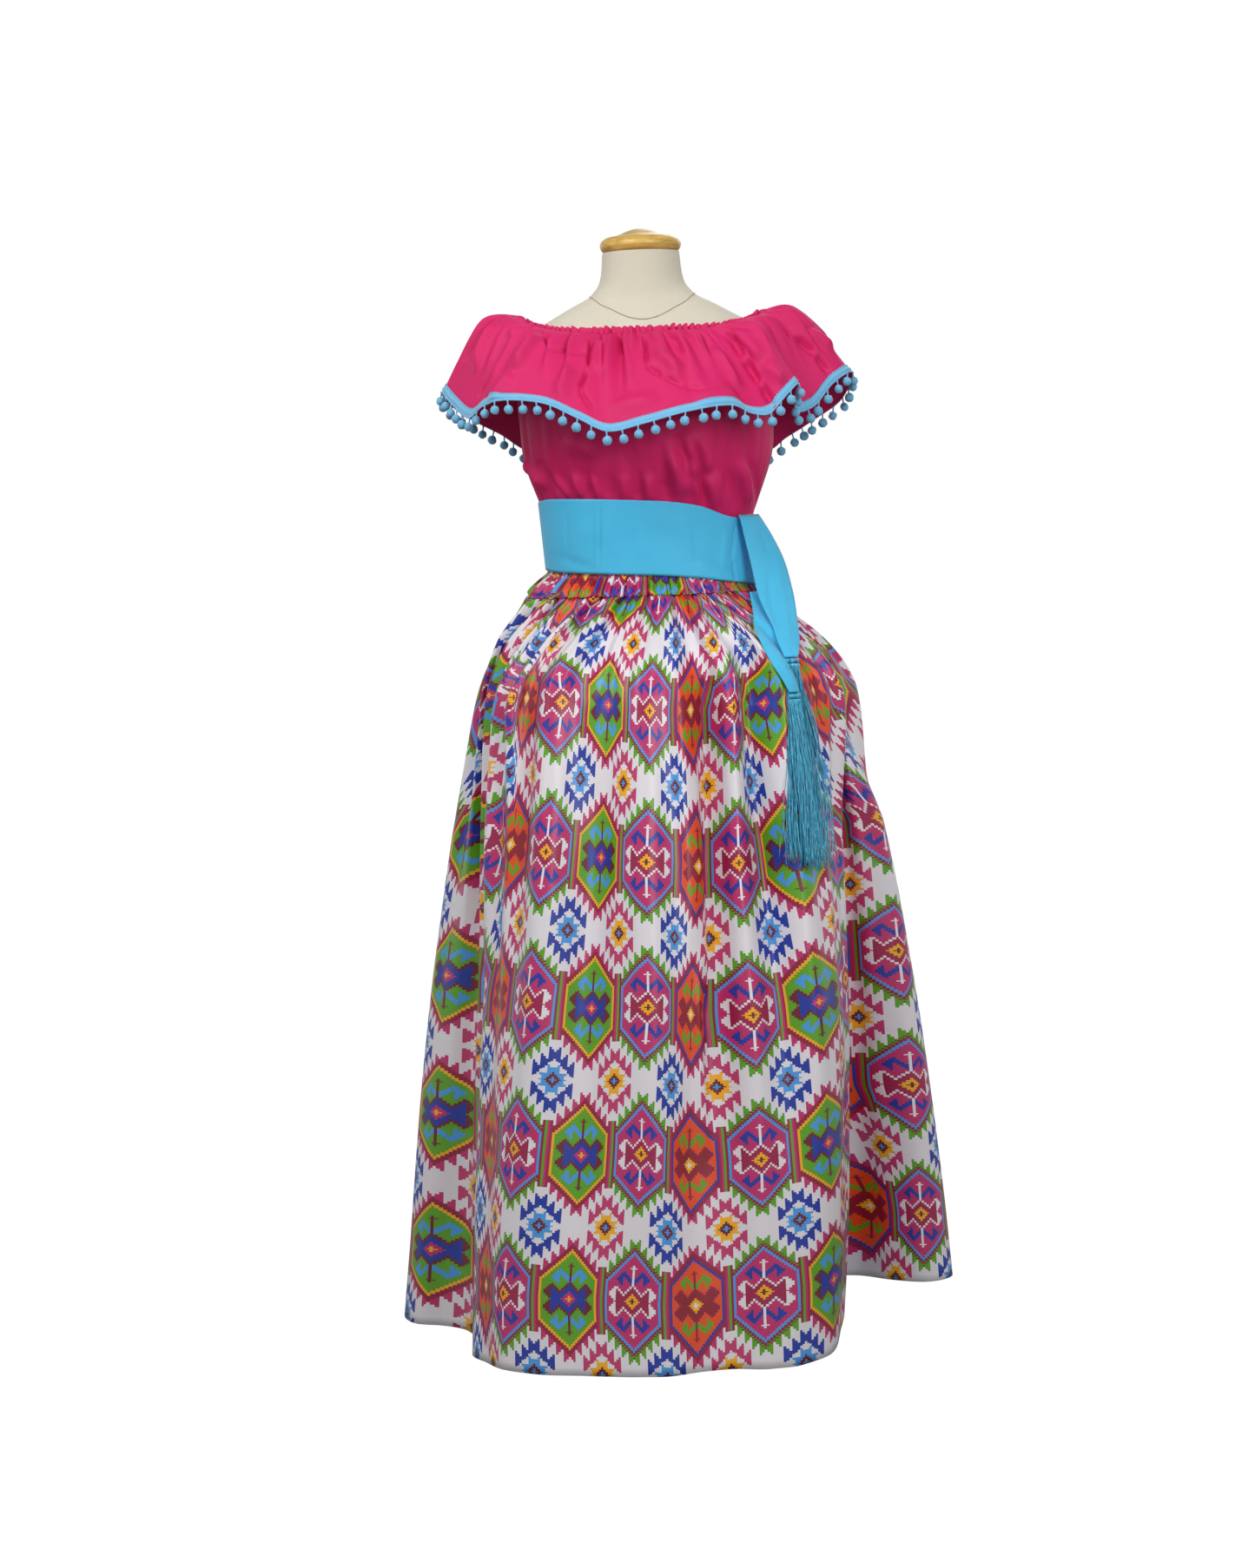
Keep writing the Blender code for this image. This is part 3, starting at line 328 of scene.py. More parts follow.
# Where the printed columns lie at each row: share of the panels, column, height up the cloth.
PATTERN_ROWS = [
    [
        (0, -4.12, 0.1001), (0.0872, -3, 0.1001), (0.2614, -2, 0.0965), (0.3388, 0, 0.0934),
        (0.4206, 1, 0.0927), (0.4912, 2, 0.0912), (0.5607, 3, 0.0803), (0.6335, 4, 0.0941),
        (0.725, 5, 0.0904), (1.0429, 7, 0.0963), (1.0998, 8, 0.0898), (1.25, 10.3, 0.0939),
        (1.4, 12.59, 0.098), (2, 21.77, 0.1001),
    ],
    [
        (0, -4.12, 0.2807), (0.0826, -3, 0.2807), (0.2523, -2, 0.2762), (0.3585, 0, 0.2736),
        (0.4375, 1, 0.2655), (0.5096, 2, 0.2707), (0.559, 3, 0.2496), (0.6356, 4, 0.2547),
        (0.7038, 5, 0.2654), (1.1004, 8, 0.2604), (1.25, 10.3, 0.2691), (1.4, 12.59, 0.2778),
        (2, 21.77, 0.2807),
    ],
    [
        (0, -4.12, 0.4605), (0.0771, -3, 0.4605), (0.2432, -2, 0.453), (0.3802, 0, 0.4579),
        (0.4522, 1, 0.4445), (0.5211, 2, 0.4494), (0.5651, 3, 0.4355), (0.5785, 3.28, 0.4339),
        (0.5803, 3.42, 0.4321), (0.6341, 4, 0.432), (0.6934, 5, 0.4414), (1.1014, 8, 0.4383),
        (1.25, 10.3, 0.448), (1.4, 12.59, 0.4576), (2, 21.77, 0.4605),
    ],
    [
        (0, -4.12, 0.6427), (0.0795, -3, 0.6427), (0.2783, -2.25, 0.6501), (0.3045, -2, 0.6483),
        (0.3057, -1.3, 0.6473), (0.4032, 0, 0.6436), (0.4671, 1, 0.6314), (0.5227, 2, 0.6272),
        (0.5832, 2.98, 0.6171), (0.5862, 3.04, 0.6167), (0.5876, 3.42, 0.6161), (0.6285, 4, 0.62),
        (0.677, 5, 0.6255), (0.7977, 6, 0.6174), (1.1155, 8, 0.6136), (1.25, 10.3, 0.6255),
        (1.4, 12.59, 0.6374), (2, 21.77, 0.6427),
    ],
    [
        (0, -5.1, 0.8236), (0.1685, -3, 0.8236), (0.3294, -2.05, 0.8337), (0.3332, -1.95, 0.8328),
        (0.3344, -1.2, 0.8326), (0.3461, -0.75, 0.8307), (0.4194, 0, 0.8303), (0.4825, 1, 0.8225),
        (0.5313, 2, 0.814), (0.5803, 2.95, 0.8119), (0.5944, 3.32, 0.8106), (0.5961, 3.45, 0.8105),
        (0.6333, 4, 0.8141), (0.6406, 4.3, 0.8135), (0.6439, 4.6, 0.8129), (0.6656, 5, 0.816),
        (0.7483, 7, 0.8199), (0.8391, 8, 0.8134), (1.25, 10.3, 0.8153), (1.4, 12.59, 0.8172),
        (2, 21.77, 0.8236),
    ],
    [
        (0, -5, 0.9965), (0.1504, -3, 0.9965), (0.2704, -0.5, 0.9965), (0.3926, 0.5, 0.9965),
        (0.4988, 1.5, 0.9965), (0.593, 2.5, 0.9965), (0.6701, 3.5, 0.9965), (0.7001, 5, 0.9965),
        (0.79, 7, 0.9965), (0.86, 8, 0.9965), (1.25, 10.3, 0.9965), (1.4, 12.59, 0.9965),
        (2, 21.77, 0.9965),
    ],
]

BLOUSE_FOLDS = 1.3
BLOUSE_DEEPEST = -0.0026
BODY_ROUND = 0.90
BLOUSE_CREASES = mm(
    # x0, y0, x1, y1, width, tall
    (255, 1172, 277.9, 1128.1, 5, -5.1), (277.9, 1128.1, 305.5, 1075.2, 5, -5.1),
    (247.8, 1150.7, 274.3, 1095.7, 8, 7.2), (282.7, 1171.1, 298.2, 1122.1, 7, 7.8),
    (298.2, 1122.1, 317.1, 1074.9, 7, 7.8), (67.8, 1147.2, 100.2, 1104, 6, -4.5),
    (26.9, 1148.4, 71.2, 1113.7, 8, 7.2), (144.2, 1133.3, 147.6, 1098, 4.5, -4.2),
    (130.4, 1128.3, 131.7, 1098.6, 5, 5.4), (174.4, 1123.3, 174.1, 1094.9, 4.5, -3),
    (212.1, 1130.5, 210.5, 1089.2, 5, -4.5), (222.1, 1124.6, 224, 1088.7, 6, 6),
    (241.9, 1116.3, 249.2, 1085.6, 4.5, -3.3), (326.7, 1126.8, 360.3, 1069.6, 5, -4.2),
    (353.5, 1139.4, 453.1, 1066.7, 5.5, -5.1), (338.4, 1137.4, 389, 1071.4, 6, 6.6),
    (122.8, 1172.3, 167.6, 1154, 12, 5.4), (179.1, 1169.7, 217.2, 1130.2, 12, -2.7),
    (264, 1171.6, 293.9, 1078.8, 5, 6), (242.2, 1172.4, 266.1, 1079.6, 6, 5),
    (343.2, 1142.8, 405.3, 1069, 4.5, 5), (154.1, 1124.1, 157.2, 1095.5, 4.5, 4),
    (94.4, 1126.4, 116.4, 1096.8, 5, 4), (192, 1125.8, 194.7, 1091.9, 6, 3.6),
    (305.8, 1127.3, 332.8, 1074.5, 5, 3.6), (500, 1080, 520, 1130, 5, -3),
    (555, 1070, 550, 1120, 5, -2.8), (600, 1080, 605, 1140, 6, -3), (620, 1080, 630, 1160, 7, 2.6),
    (660, 1070, 655, 1120, 5, -2.8), (700, 1080, 720, 1150, 6, -3), (760, 1070, 755, 1130, 6, 2.6),
    (800, 1080, 790, 1150, 5, -3), (840, 1080, 850, 1130, 5, -2.8),
)

RUFFLE_COLUMNS = 460
RUFFLE_PANEL = 0.95
RUFFLE_FOLDS = 1.35
RUFFLE_GATHERS = [
    # down, reach
    (0, 0.0016), (0.05, 0.0032), (0.14, 0.0022), (0.28, 0.0008), (0.45, 0),
]
RUFFLE_SWELLS = [
    # down, reach
    (0, 0.0008), (0.1, 0.0046), (0.26, 0.005), (0.48, 0.0026), (0.72, 0.0008), (0.92, 0),
]
RUFFLE_CREASES = mm(
    # x0, y0, x1, y1, width, tall
    (155.3, 33.1, 151.3, 104.7, 7.2, -9.5), (151.3, 104.7, 118.3, 148.6, 8.4, -7),
    (224, 40.4, 208.4, 123.1, 10, 10.2), (208.4, 123.1, 180.2, 165.9, 12, 6.8),
    (69.7, 44.5, 87, 119.4, 12, 8.5), (231.7, 38.5, 266.8, 68.4, 4.2, -6.4),
    (266.8, 68.4, 307.3, 68.2, 4.2, -5.1), (307.3, 68.2, 348, 50.1, 4.2, -3.8),
    (345.8, 19.6, 346.8, 85.5, 3.9, -6.6), (346.8, 85.5, 332.1, 123.6, 3.9, -5.7),
    (332.1, 123.6, 361.8, 143.8, 4.6, -5.1), (363.5, 24.5, 369, 84.7, 8, 6.8),
    (309.9, 89.3, 293.9, 155.7, 14, 6.8), (408.4, 14.8, 413.7, 59.1, 3.6, -4.3),
    (468.4, 24.4, 457.6, 81.9, 4.6, -5.1), (457.6, 81.9, 483.1, 105.6, 3.9, -5.1),
    (483.1, 105.6, 511.2, 129.3, 3.9, -4.6), (511.2, 129.3, 545, 139.6, 3.9, -3.6),
    (477, 58.5, 521.4, 108.9, 12, 6.8), (532.3, 30.2, 528.7, 74.9, 3.9, -4.3),
    (595.2, 27.3, 582.8, 88.3, 4.6, -5.1), (646.6, 34.6, 645.2, 87, 6.5, -8.9),
    (645.2, 87, 650.4, 130.6, 7.2, -8.9), (650.4, 130.6, 655.4, 165.1, 7.2, -7.7),
    (671.2, 45.4, 672.4, 114.9, 9, 9.3), (672.4, 114.9, 687.8, 153, 10, 7.6),
    (597.7, 61.1, 605.2, 134.6, 13, 6.8), (838.7, 43.4, 834.9, 83.1, 4.6, -5.1),
    (855.5, 86.9, 869.6, 122.5, 5.9, -7), (869.6, 122.5, 877.7, 157, 6.5, -5.7),
    (893.1, 88.8, 913.6, 132.1, 10, 6.8), (384.8, 134.9, 469.2, 137.6, 12, 5.1),
    (519.3, 155.5, 596.8, 148.3, 12, 5.1), (1020, 10, 1000, 150, 12, -9),
    (1080, 10, 1100, 140, 11, 7.5), (1150, 10, 1120, 120, 10, -8.3), (1210, 10, 1240, 150, 13, 7.5),
    (1300, 10, 1270, 110, 8, -7.5), (1370, 10, 1400, 150, 12, 6.7), (1430, 10, 1460, 130, 10, -8.3),
    (1520, 20, 1500, 150, 14, 7.5), (1600, 10, 1570, 110, 9, -8.3), (1660, 10, 1700, 140, 12, 6.7),
    (1730, 10, 1760, 150, 10, -7.5), (1830, 10, 1820, 150, 12, 7.5), (1880, 10, 1900, 140, 10, -7.5),
    (20, 10, 20, 140, 11, -7.5), (930, 10, 940, 140, 11, 6.7),
)
PICOT = 0.0036
PICOT_REACH = 0.0016

BAND_CUT = (0.70, 0.097)
UNDER_CUT = (0.085, 0.097)
FRONT_CUT = (0.055, 0.215)
BACK_CUT = (0.062, 0.165)
SASH_CREASES = mm(
    # x0, y0, x1, y1, width, tall
    (692.7, 5.2, 679.2, 65.3, 2.4, -3.4), (679.2, 65.3, 684.3, 102.4, 2.4, -3.4),
    (674.9, 13.3, 664, 91.4, 6, 1.6), (508.6, 2, 499.4, 93.4, 1.6, -1.8),
    (504, 2.1, 494.5, 93.5, 2.6, 1.2), (461, 2.4, 450.9, 92.5, 4, -0.8),
    (482.9, 28.2, 471.3, 91.8, 12, 1), (429.5, 74.9, 499.7, 90, 6, -1),
    (549.7, 15.7, 626.8, 35.3, 14, 1.2), (614.4, 68.9, 674.7, 87.6, 8, -1), (100, 10, 110, 90, 4, -0.9),
    (550, 12, 560, 85, 10, 1), (620, 10, 630, 90, 3, -1),
)
FRONT_CREASES = mm(
    # x0, y0, x1, y1, width, tall
    (35.4, 23, 31.7, 63.2, 4, -1.6), (51.9, 46.2, 32.9, 128.4, 6, 1.6),
    (27.1, 74.3, 7.5, 164.9, 5, -1.6), (40, 116.3, 16.3, 200, 5, 1.4),
    (6.8, 119.9, -4.4, 190.3, 6, 1.2),
)
FRINGE_STRANDS = 84
FLOOR_REACH = 40.0

# Brightness of the room by height: 0 is straight down, 0.5 level and 1 straight up.
ROOM_LEVELS = [
    # height, level
    (0, 0.16), (0.45, 0.16), (0.46, 1), (0.6, 1), (0.64, 0.34), (1, 0.34),
]
SOFT_LIGHTS = [
    # name, place, aim, width, height, watts, spread
    ("over", (-0.85, -1.10, 2.35), (0.0, -0.10, 0.80), 0.9, 0.7, 16.0, 180.0),
    ("front", (1.10, -2.20, 1.90), (0.05, -0.10, 0.95), 0.9, 0.9, 6.2, 90.0),
    ("behind", (0.7, 2.2, 2.4), (0.0, 0.0, 0.8), 1.4, 1.2, 10.0, 180.0),
]


def smooth(rows, keys, column):
    """Read one column of a table at many keys, with a curve that eases through the rows."""
    rows, keys = np.array(rows, float), np.asarray(keys, float)
    last = len(rows) - 1
    index = np.clip(np.searchsorted(rows[:, 0], keys, side="right") - 1, 0, last - 1)
    low, high = rows[index], rows[index + 1]
    before, after = rows[np.maximum(index - 1, 0)], rows[np.minimum(index + 2, last)]
    span = high[..., 0] - low[..., 0]
    t = np.clip((keys - low[..., 0]) / span, 0.0, 1.0)
    rise_low = (high - before)[..., column] / np.maximum((high - before)[..., 0], 1e-9) * span
    rise_high = (after - low)[..., column] / np.maximum((after - low)[..., 0], 1e-9) * span
    return (
        (2 * t**3 - 3 * t**2 + 1) * low[..., column]
        + (t**3 - 2 * t**2 + t) * rise_low
        + (3 * t**2 - 2 * t**3) * high[..., column]
        + (t**3 - t**2) * rise_high
    )


def straight(rows, keys, column=1):
    """Read one column of a table at many keys, with straight runs between rows."""
    rows = np.array(rows, float)
    return np.interp(keys, rows[:, 0], rows[:, column])


def round_smooth(rows, turns, column=1):
    """Read a table that closes on itself, its first column a turn from 0 to 1."""
    ahead = [(row[0] + 1.0, *row[1:]) for row in rows[:3]]
    behind = [(row[0] - 1.0, *row[1:]) for row in rows[-3:]]
    return smooth(behind + list(rows) + ahead, np.mod(turns, 1.0), column)


def unit(vectors):
    return vectors / np.maximum(np.linalg.norm(vectors, axis=-1, keepdims=True), 1e-12)


def form_spot(turn, z):
    """Points on the torso: turn 0 is the wearer's right side and 0.25 the front."""
    turn, z = np.broadcast_arrays(np.asarray(turn, float), np.asarray(z, float))
    half_width, half_depth, forward = (smooth(FORM_SECTIONS, z, column) for column in (1, 2, 3))
    angle = TAU * (0.5 + turn)
    return np.stack([half_width * np.cos(angle), half_depth * np.sin(angle) - forward, z], axis=-1)


def form_point(turn, z, out=0.0):
    """Points that stand off the torso by out, square to its skin."""
    step = 1e-4
    spot = form_spot(turn, z)
    side = unit(np.cross(form_spot(np.asarray(turn) + step, z) - spot,
                         form_spot(turn, np.asarray(z) + step) - spot))
    return spot + side * np.asarray(out, float)[..., None]


def neckline_z(turn):
    return round_smooth(NECKLINE, turn)


def neck_point(turn, drop, out):
    """Points of the elastic heading, which stands upright round the shoulders."""
    z = neckline_z(turn)
    base = form_point(turn, z, NECK_OUT)
    side = form_spot(turn, z)
    side[..., 2] = 0.0
    point = base + unit(side) * np.asarray(out, float)[..., None]
    point[..., 2] -= drop
    return point


def run_lengths(points):
    """Distance from the first row of points, down each column."""
    steps = np.cumsum(np.linalg.norm(np.diff(points, axis=0), axis=-1), axis=0)
    return np.concatenate([np.zeros_like(steps[:1]), steps])


def closed_curve(rows, samples):
    """Points along a smooth closed curve through the rows."""
    a, b, c, d = (np.roll(rows, -k, axis=0)[:, None, :] for k in (-1, 0, 1, 2))
    t = (np.arange(samples) / samples)[None, :, None]
    curve = 0.5 * (2 * b + (c - a) * t + (2 * a - 5 * b + 4 * c - d) * t**2
                   + (3 * b - a - 3 * c + d) * t**3)
    curve = curve.reshape(-1, rows.shape[1])
    return np.vstack([curve, curve[:1]])


def hem_values(front_rows, back_rows, axes, shares):
    """Values at shares of the cloth round a hem."""
    samples = 24
    curve = closed_curve(np.vstack([front_rows, back_rows]), samples)
    lengths = run_lengths(curve[:, :axes])
    seam, end = lengths[len(front_rows) * samples], lengths[-1]
    target = np.where(shares <= 1.0, shares * seam, seam + (shares - 1.0) * (end - seam))
    return np.stack([np.interp(target, lengths, curve[:, k]) for k in range(curve.shape[1])], axis=-1)


def share_turns(shares, seam_turn=0.5):
    """The turn round the body at each share, even along the body's outline in each panel."""
    half_width, half_depth = (float(smooth(FORM_SECTIONS, SKIRT_TOP, column)) for column in (1, 2))
    made = np.zeros(len(shares))
    for number, (start, end) in enumerate(((0.0, seam_turn), (seam_turn, 1.0))):
        turns = np.linspace(start, end, 721)
        lengths = run_lengths(np.stack([half_width * np.cos(TAU * turns),
                                        half_depth * np.sin(TAU * turns)], axis=-1))
        mine = (shares >= number) & (shares <= number + 1)
        made[mine] = np.interp((shares[mine] - number) * lengths[-1], lengths, turns)
    return made


def cloth_normals(grid, closed=False):
    """Directions square to the cloth, pointing away from the body."""
    along = np.roll(grid, -1, axis=1) - np.roll(grid, 1, axis=1) if closed else np.gradient(grid, axis=1)
    return unit(np.cross(np.gradient(grid, axis=0), along))


def fade(low, high, values):
    """A soft step from 0 at low to 1 at high."""
    t = np.clip((values - low) / (high - low), 0.0, 1.0)
    return t * t * (3.0 - 2.0 * t)


def ripple(shares, count, seed, spread=0.35, waves=7):
    """An uneven wave with about count turns to a share, from -1 to 1 or so."""
    random = np.random.default_rng(seed)
    total = np.zeros_like(shares)
    for _ in range(waves):
        turns = round(count * random.uniform(1.0 - spread, 1.0 + spread))
        total += random.uniform(0.5, 1.0) * np.sin(math.pi * turns * shares + random.uniform(0.0, TAU))
    return total / math.sqrt(waves * 0.29)


def crease_heights(x, y, creases):
    """Heights of soft ridges and troughs, each a line on the cloth from one end to the other."""
    height = np.zeros_like(x)
    for x0, y0, x1, y1, width, tall in creases:
        along = np.array([x1 - x0, y1 - y0])
        length = float(np.linalg.norm(along))
        along = along / length
        run = (x - x0) * along[0] + (y - y0) * along[1]
        aside = (x - x0) * along[1] - (y - y0) * along[0]
        taper = fade(-0.5 * width, 0.30 * length, run)
        taper = taper * (1.0 - fade(0.70 * length, length + 0.5 * width, run))
        height += tall * np.exp(-((aside / width) ** 2)) * taper
    return height


def grid_faces(rows, columns, closed):
    """Four-sided faces of a grid, which face away from the body."""
    i, j = np.indices((rows - 1, columns if closed else columns - 1))
    k = (j + 1) % columns
    i, below = i * columns, (i + 1) * columns
    return np.stack([i + j, below + j, below + k, i + k], axis=-1).reshape(-1, 4).tolist()


def closed_faces(rows, columns):
    """Faces of a tube of rings, with a flat face at each end."""
    ends = [list(range(columns)), list(range(rows * columns - 1, (rows - 1) * columns - 1, -1))]
    return grid_faces(rows, columns, True) + ends


def add_mesh(name, points, faces, corner_uvs=None):
    """Make a smooth mesh object; corner_uvs has a pair for each corner of each face, in order."""
    mesh = bpy.data.meshes.new(name)
    mesh.from_pydata(np.asarray(points, float).tolist(), [], faces)
    mesh.shade_smooth()
    if corner_uvs is not None:
        layer = mesh.uv_layers.new(name="UVMap")
        layer.data.foreach_set("uv", np.asarray(corner_uvs, float).ravel())
    thing = bpy.data.objects.new(name, mesh)
    bpy.context.scene.collection.objects.link(thing)
    return thing


def place(thing, material, slot, *nodes):
    """Give a piece its material and hide the CAD nodes it stands for; the slot is not used."""
    thing.data.materials.append(material)
    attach(thing, "root")
    if nodes:
        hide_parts(*nodes)
    return thing


def cloth_piece(name, grid, uv, thickness=CLOTH, round_length=None):
    """Make a cloth wall of even thickness round a grid of points, closed if it has a round length."""
    rows, columns = grid.shape[:2]
    faces = grid_faces(rows, columns, round_length is not None)
    corners = uv.reshape(-1, 2)[np.array(faces)]
    if round_length is not None:
        wrap = np.array(faces)[:, 2:] % columns == 0
        corners[:, 2:, 0] += wrap * round_length
    thing = add_mesh(name, grid.reshape(-1, 3), faces, corners)
    wall = thing.modifiers.new("wall", "SOLIDIFY")
    wall.thickness = thickness
    wall.offset = 0.0
    return thing


def feed(tree, socket, value):
    """Link a Number or a socket, or set a plain number or a colour of three."""
    if isinstance(value, Number):
        tree.links.new(value.socket, socket)
    elif isinstance(value, bpy.types.NodeSocket):
        tree.links.new(value, socket)
    else:
        socket.default_value = (*value, 1.0) if isinstance(value, tuple) else value


class Number:
    """A number that a shader works out at each point; arithmetic on it adds Math nodes."""

    def __init__(self, tree, socket):
        self.tree = tree
        self.socket = socket

    def apply(self, operation, *others):
        node = self.tree.nodes.new("ShaderNodeMath")
        node.operation = operation
        for socket, value in zip(node.inputs, (self, *others)):
            feed(self.tree, socket, value)
        return Number(self.tree, node.outputs[0])

    __add__ = partialmethod(apply, "ADD")
    __sub__ = partialmethod(apply, "SUBTRACT")
    __mul__ = partialmethod(apply, "MULTIPLY")
    below = partialmethod(apply, "LESS_THAN")
    above = partialmethod(apply, "GREATER_THAN")
    most = partialmethod(apply, "MAXIMUM")
    floor = partialmethod(apply, "FLOOR")
    part = partialmethod(apply, "FRACT")
    size = partialmethod(apply, "ABSOLUTE")

    def threads(self, pitch):
        """A wave from -1 to 1 that comes round at each pitch."""
        return (self * (TAU / pitch)).apply("SINE")


def coordinates(tree, kind):
    """The UV, object or generated coordinates, whole and as three numbers."""
    node = tree.nodes.new("ShaderNodeTexCoord")
    split = tree.nodes.new("ShaderNodeSeparateXYZ")
    tree.links.new(node.outputs[kind], split.inputs[0])
    return node.outputs[kind], [Number(tree, socket) for socket in split.outputs]


def mix(tree, factor, low, high):
    """Mix two colours by a number; a colour is a socket or three numbers."""
    node = tree.nodes.new("ShaderNodeMix")
    node.data_type = "RGBA"
    for spot, value in ((0, factor), (6, low), (7, high)):
        feed(tree, node.inputs[spot], value)
    return node.outputs[2]


def rgb(*colour):
    """A colour on the usual 0 to 255 scale, as the shader's linear numbers."""
    return tuple(((c / 255.0 + 0.055) / 1.055) ** 2.4 if c > 10 else c / 3294.6 for c in colour)


class Look:
    """A material on its way: noises and bumps first, then finish gives it."""

    def __init__(self, name):
        self.material = bpy.data.materials.new(name)
        self.material.use_nodes = True
        self.tree = self.material.node_tree
        self.shader = self.tree.nodes["Principled BSDF"]
        self.spots, (self.x, _, self.z) = coordinates(self.tree, "Object")

    def uv(self):
        return coordinates(self.tree, "UV")[1][:2]

    def noise(self, scale, detail=2.0, roughness=0.5, stretch=None):
        node = self.tree.nodes.new("ShaderNodeTexNoise")
        for name, value in (("Scale", scale), ("Detail", detail), ("Roughness", roughness)):
            node.inputs[name].default_value = value
        vector = self.spots
        if stretch:
            mapping = self.tree.nodes.new("ShaderNodeMapping")
            mapping.inputs["Scale"].default_value = stretch
            self.tree.links.new(vector, mapping.inputs["Vector"])
            vector = mapping.outputs[0]
        self.tree.links.new(vector, node.inputs["Vector"])
        return Number(self.tree, node.outputs["Fac"])

    def bump(self, height, distance, strength):
        node = self.tree.nodes.new("ShaderNodeBump")
        node.inputs["Distance"].default_value = distance
        node.inputs["Strength"].default_value = strength
        self.tree.links.new(height.socket, node.inputs["Height"])
        self.tree.links.new(node.outputs[0], self.shader.inputs["Normal"])

    def finish(self, blend, low, high, rough, *others):
        """Colour between low and high, roughness, and other inputs as pairs of name and value."""
        feed(self.tree, self.shader.inputs["Base Color"], mix(self.tree, blend, low, high))
        feed(self.tree, self.shader.inputs["Roughness"], rough)
        for name, value in others:
            self.shader.inputs[name].default_value = value
        return self.material


def satin_cloth():
    """Fuchsia crepe satin: fine cross weave, soft sheen, a little uneven."""
    look = Look("fuchsia_satin_cloth")
    u, v = look.uv()
    cloud, grain = look.noise(9.0, 3.0), look.noise(900.0)
    look.bump(u.threads(0.0007) * v.threads(0.0007) * 0.5 + grain, 0.00012, 0.5)
    return look.finish(cloud, rgb(204, 26, 92), rgb(216, 40, 110), cloud * 0.12 + 0.46,
                       ("Specular IOR Level", 0.22))


def ribbon_cloth():
    """Turquoise grosgrain: fine ribs across the ribbon, dull sheen."""
    look = Look("turquoise_grosgrain")
    u, _ = look.uv()
    cloud, thread = look.noise(14.0, 3.0), look.noise(700.0)
    look.bump(u.threads(0.0011) * 0.6 + thread * 0.5, 0.00015, 0.6)
    return look.finish(cloud * 0.7 + thread * 0.3, rgb(58, 178, 220), rgb(86, 202, 246), cloud * 0.1 + 0.50,
                       ("Sheen Weight", 0.15), ("Specular IOR Level", 0.3))


def strand_cloth():
    """Turquoise rayon strands, a little shiny."""
    look = Look("turquoise_strands")
    cloud = look.noise(420.0, stretch=(1.0, 1.0, 0.06))
    return look.finish((cloud - 0.5) * 2.2 + 0.5, rgb(14, 112, 166), rgb(104, 214, 240), cloud * 0.15 + 0.35)


def braid_cloth():
    """Sky-blue yarn of the braid and pompoms, fuzzy."""
    look = Look("sky_blue_yarn")
    fuzz, clump = look.noise(1400.0, 3.0, 0.7), look.noise(420.0)
    look.bump(fuzz + clump, 0.0006, 0.7)
    return look.finish(clump * 0.5 + fuzz * 0.5, rgb(82, 164, 212), rgb(138, 202, 234), fuzz * 0.1 + 0.85,
                       ("Sheen Weight", 0.5), ("Sheen Roughness", 0.5), ("Specular IOR Level", 0.2))


def linen():
    """Cream cotton cover of the dress form: plain weave with slubs."""
    look = Look("cream_cover")
    cloud, slub = look.noise(7.0, 3.0), look.noise(380.0, 3.0)
    look.bump(look.x.threads(0.0009) * look.z.threads(0.0009) * 0.4 + slub, 0.0002, 0.5)
    return look.finish(cloud * 0.6 + slub * 0.4, rgb(196, 189, 168), rgb(222, 217, 200), slub * 0.1 + 0.80,
                       ("Sheen Weight", 0.2))


def seam_thread():
    """Dull brown thread of the neck seam."""
    look = Look("brown_seam_thread")
    twist = look.noise(900.0)
    return look.finish(twist, rgb(166, 138, 102), rgb(190, 166, 130), twist * 0.1 + 0.8)


def wood():
    """Honey varnished wood with turning lines and long grain."""
    look = Look("honey_wood")
    along = (0.9, 2.0, 7.0)
    grain, fine = look.noise(26.0, 6.0, 0.65, along), look.noise(160.0, 4.0, 0.7, along)
    return look.finish((grain - 0.5) * 1.9 + 0.35 + fine * 0.3, rgb(158, 118, 42), rgb(238, 200, 112),
                       grain * 0.1 + 0.26,
                       ("Coat Weight", 0.12), ("Coat Roughness", 0.12), ("Specular IOR Level", 0.3))


def steel():
    """Satin steel of the pole and base, finely brushed and a little worn."""
    look = Look("brushed_steel")
    brushed, worn = look.noise(60.0, 4.0, stretch=(1.0, 1.0, 40.0)), look.noise(12.0, 3.0)
    look.bump(brushed, 0.00005, 0.4)
    return look.finish(worn, (0.42, 0.42, 0.43), (0.56, 0.56, 0.57), brushed * 0.15 + 0.26,
                       ("Metallic", 1.0))


def by_kind(tree, kind, first, second, third):
    """A colour that depends on the column's kind, 0, 0.5 or 1."""
    ramp = tree.nodes.new("ShaderNodeValToRGB")
    ramp.color_ramp.interpolation = "CONSTANT"
    stops = ramp.color_ramp.elements
    stops.new(0.75)
    for stop, at, colour in zip(stops, (0.0, 0.25, 0.75), (first, second, third)):
        stop.position, stop.color = at, (*colour, 1.0)
    tree.links.new(kind.socket, ramp.inputs[0])
    return ramp.outputs[0]


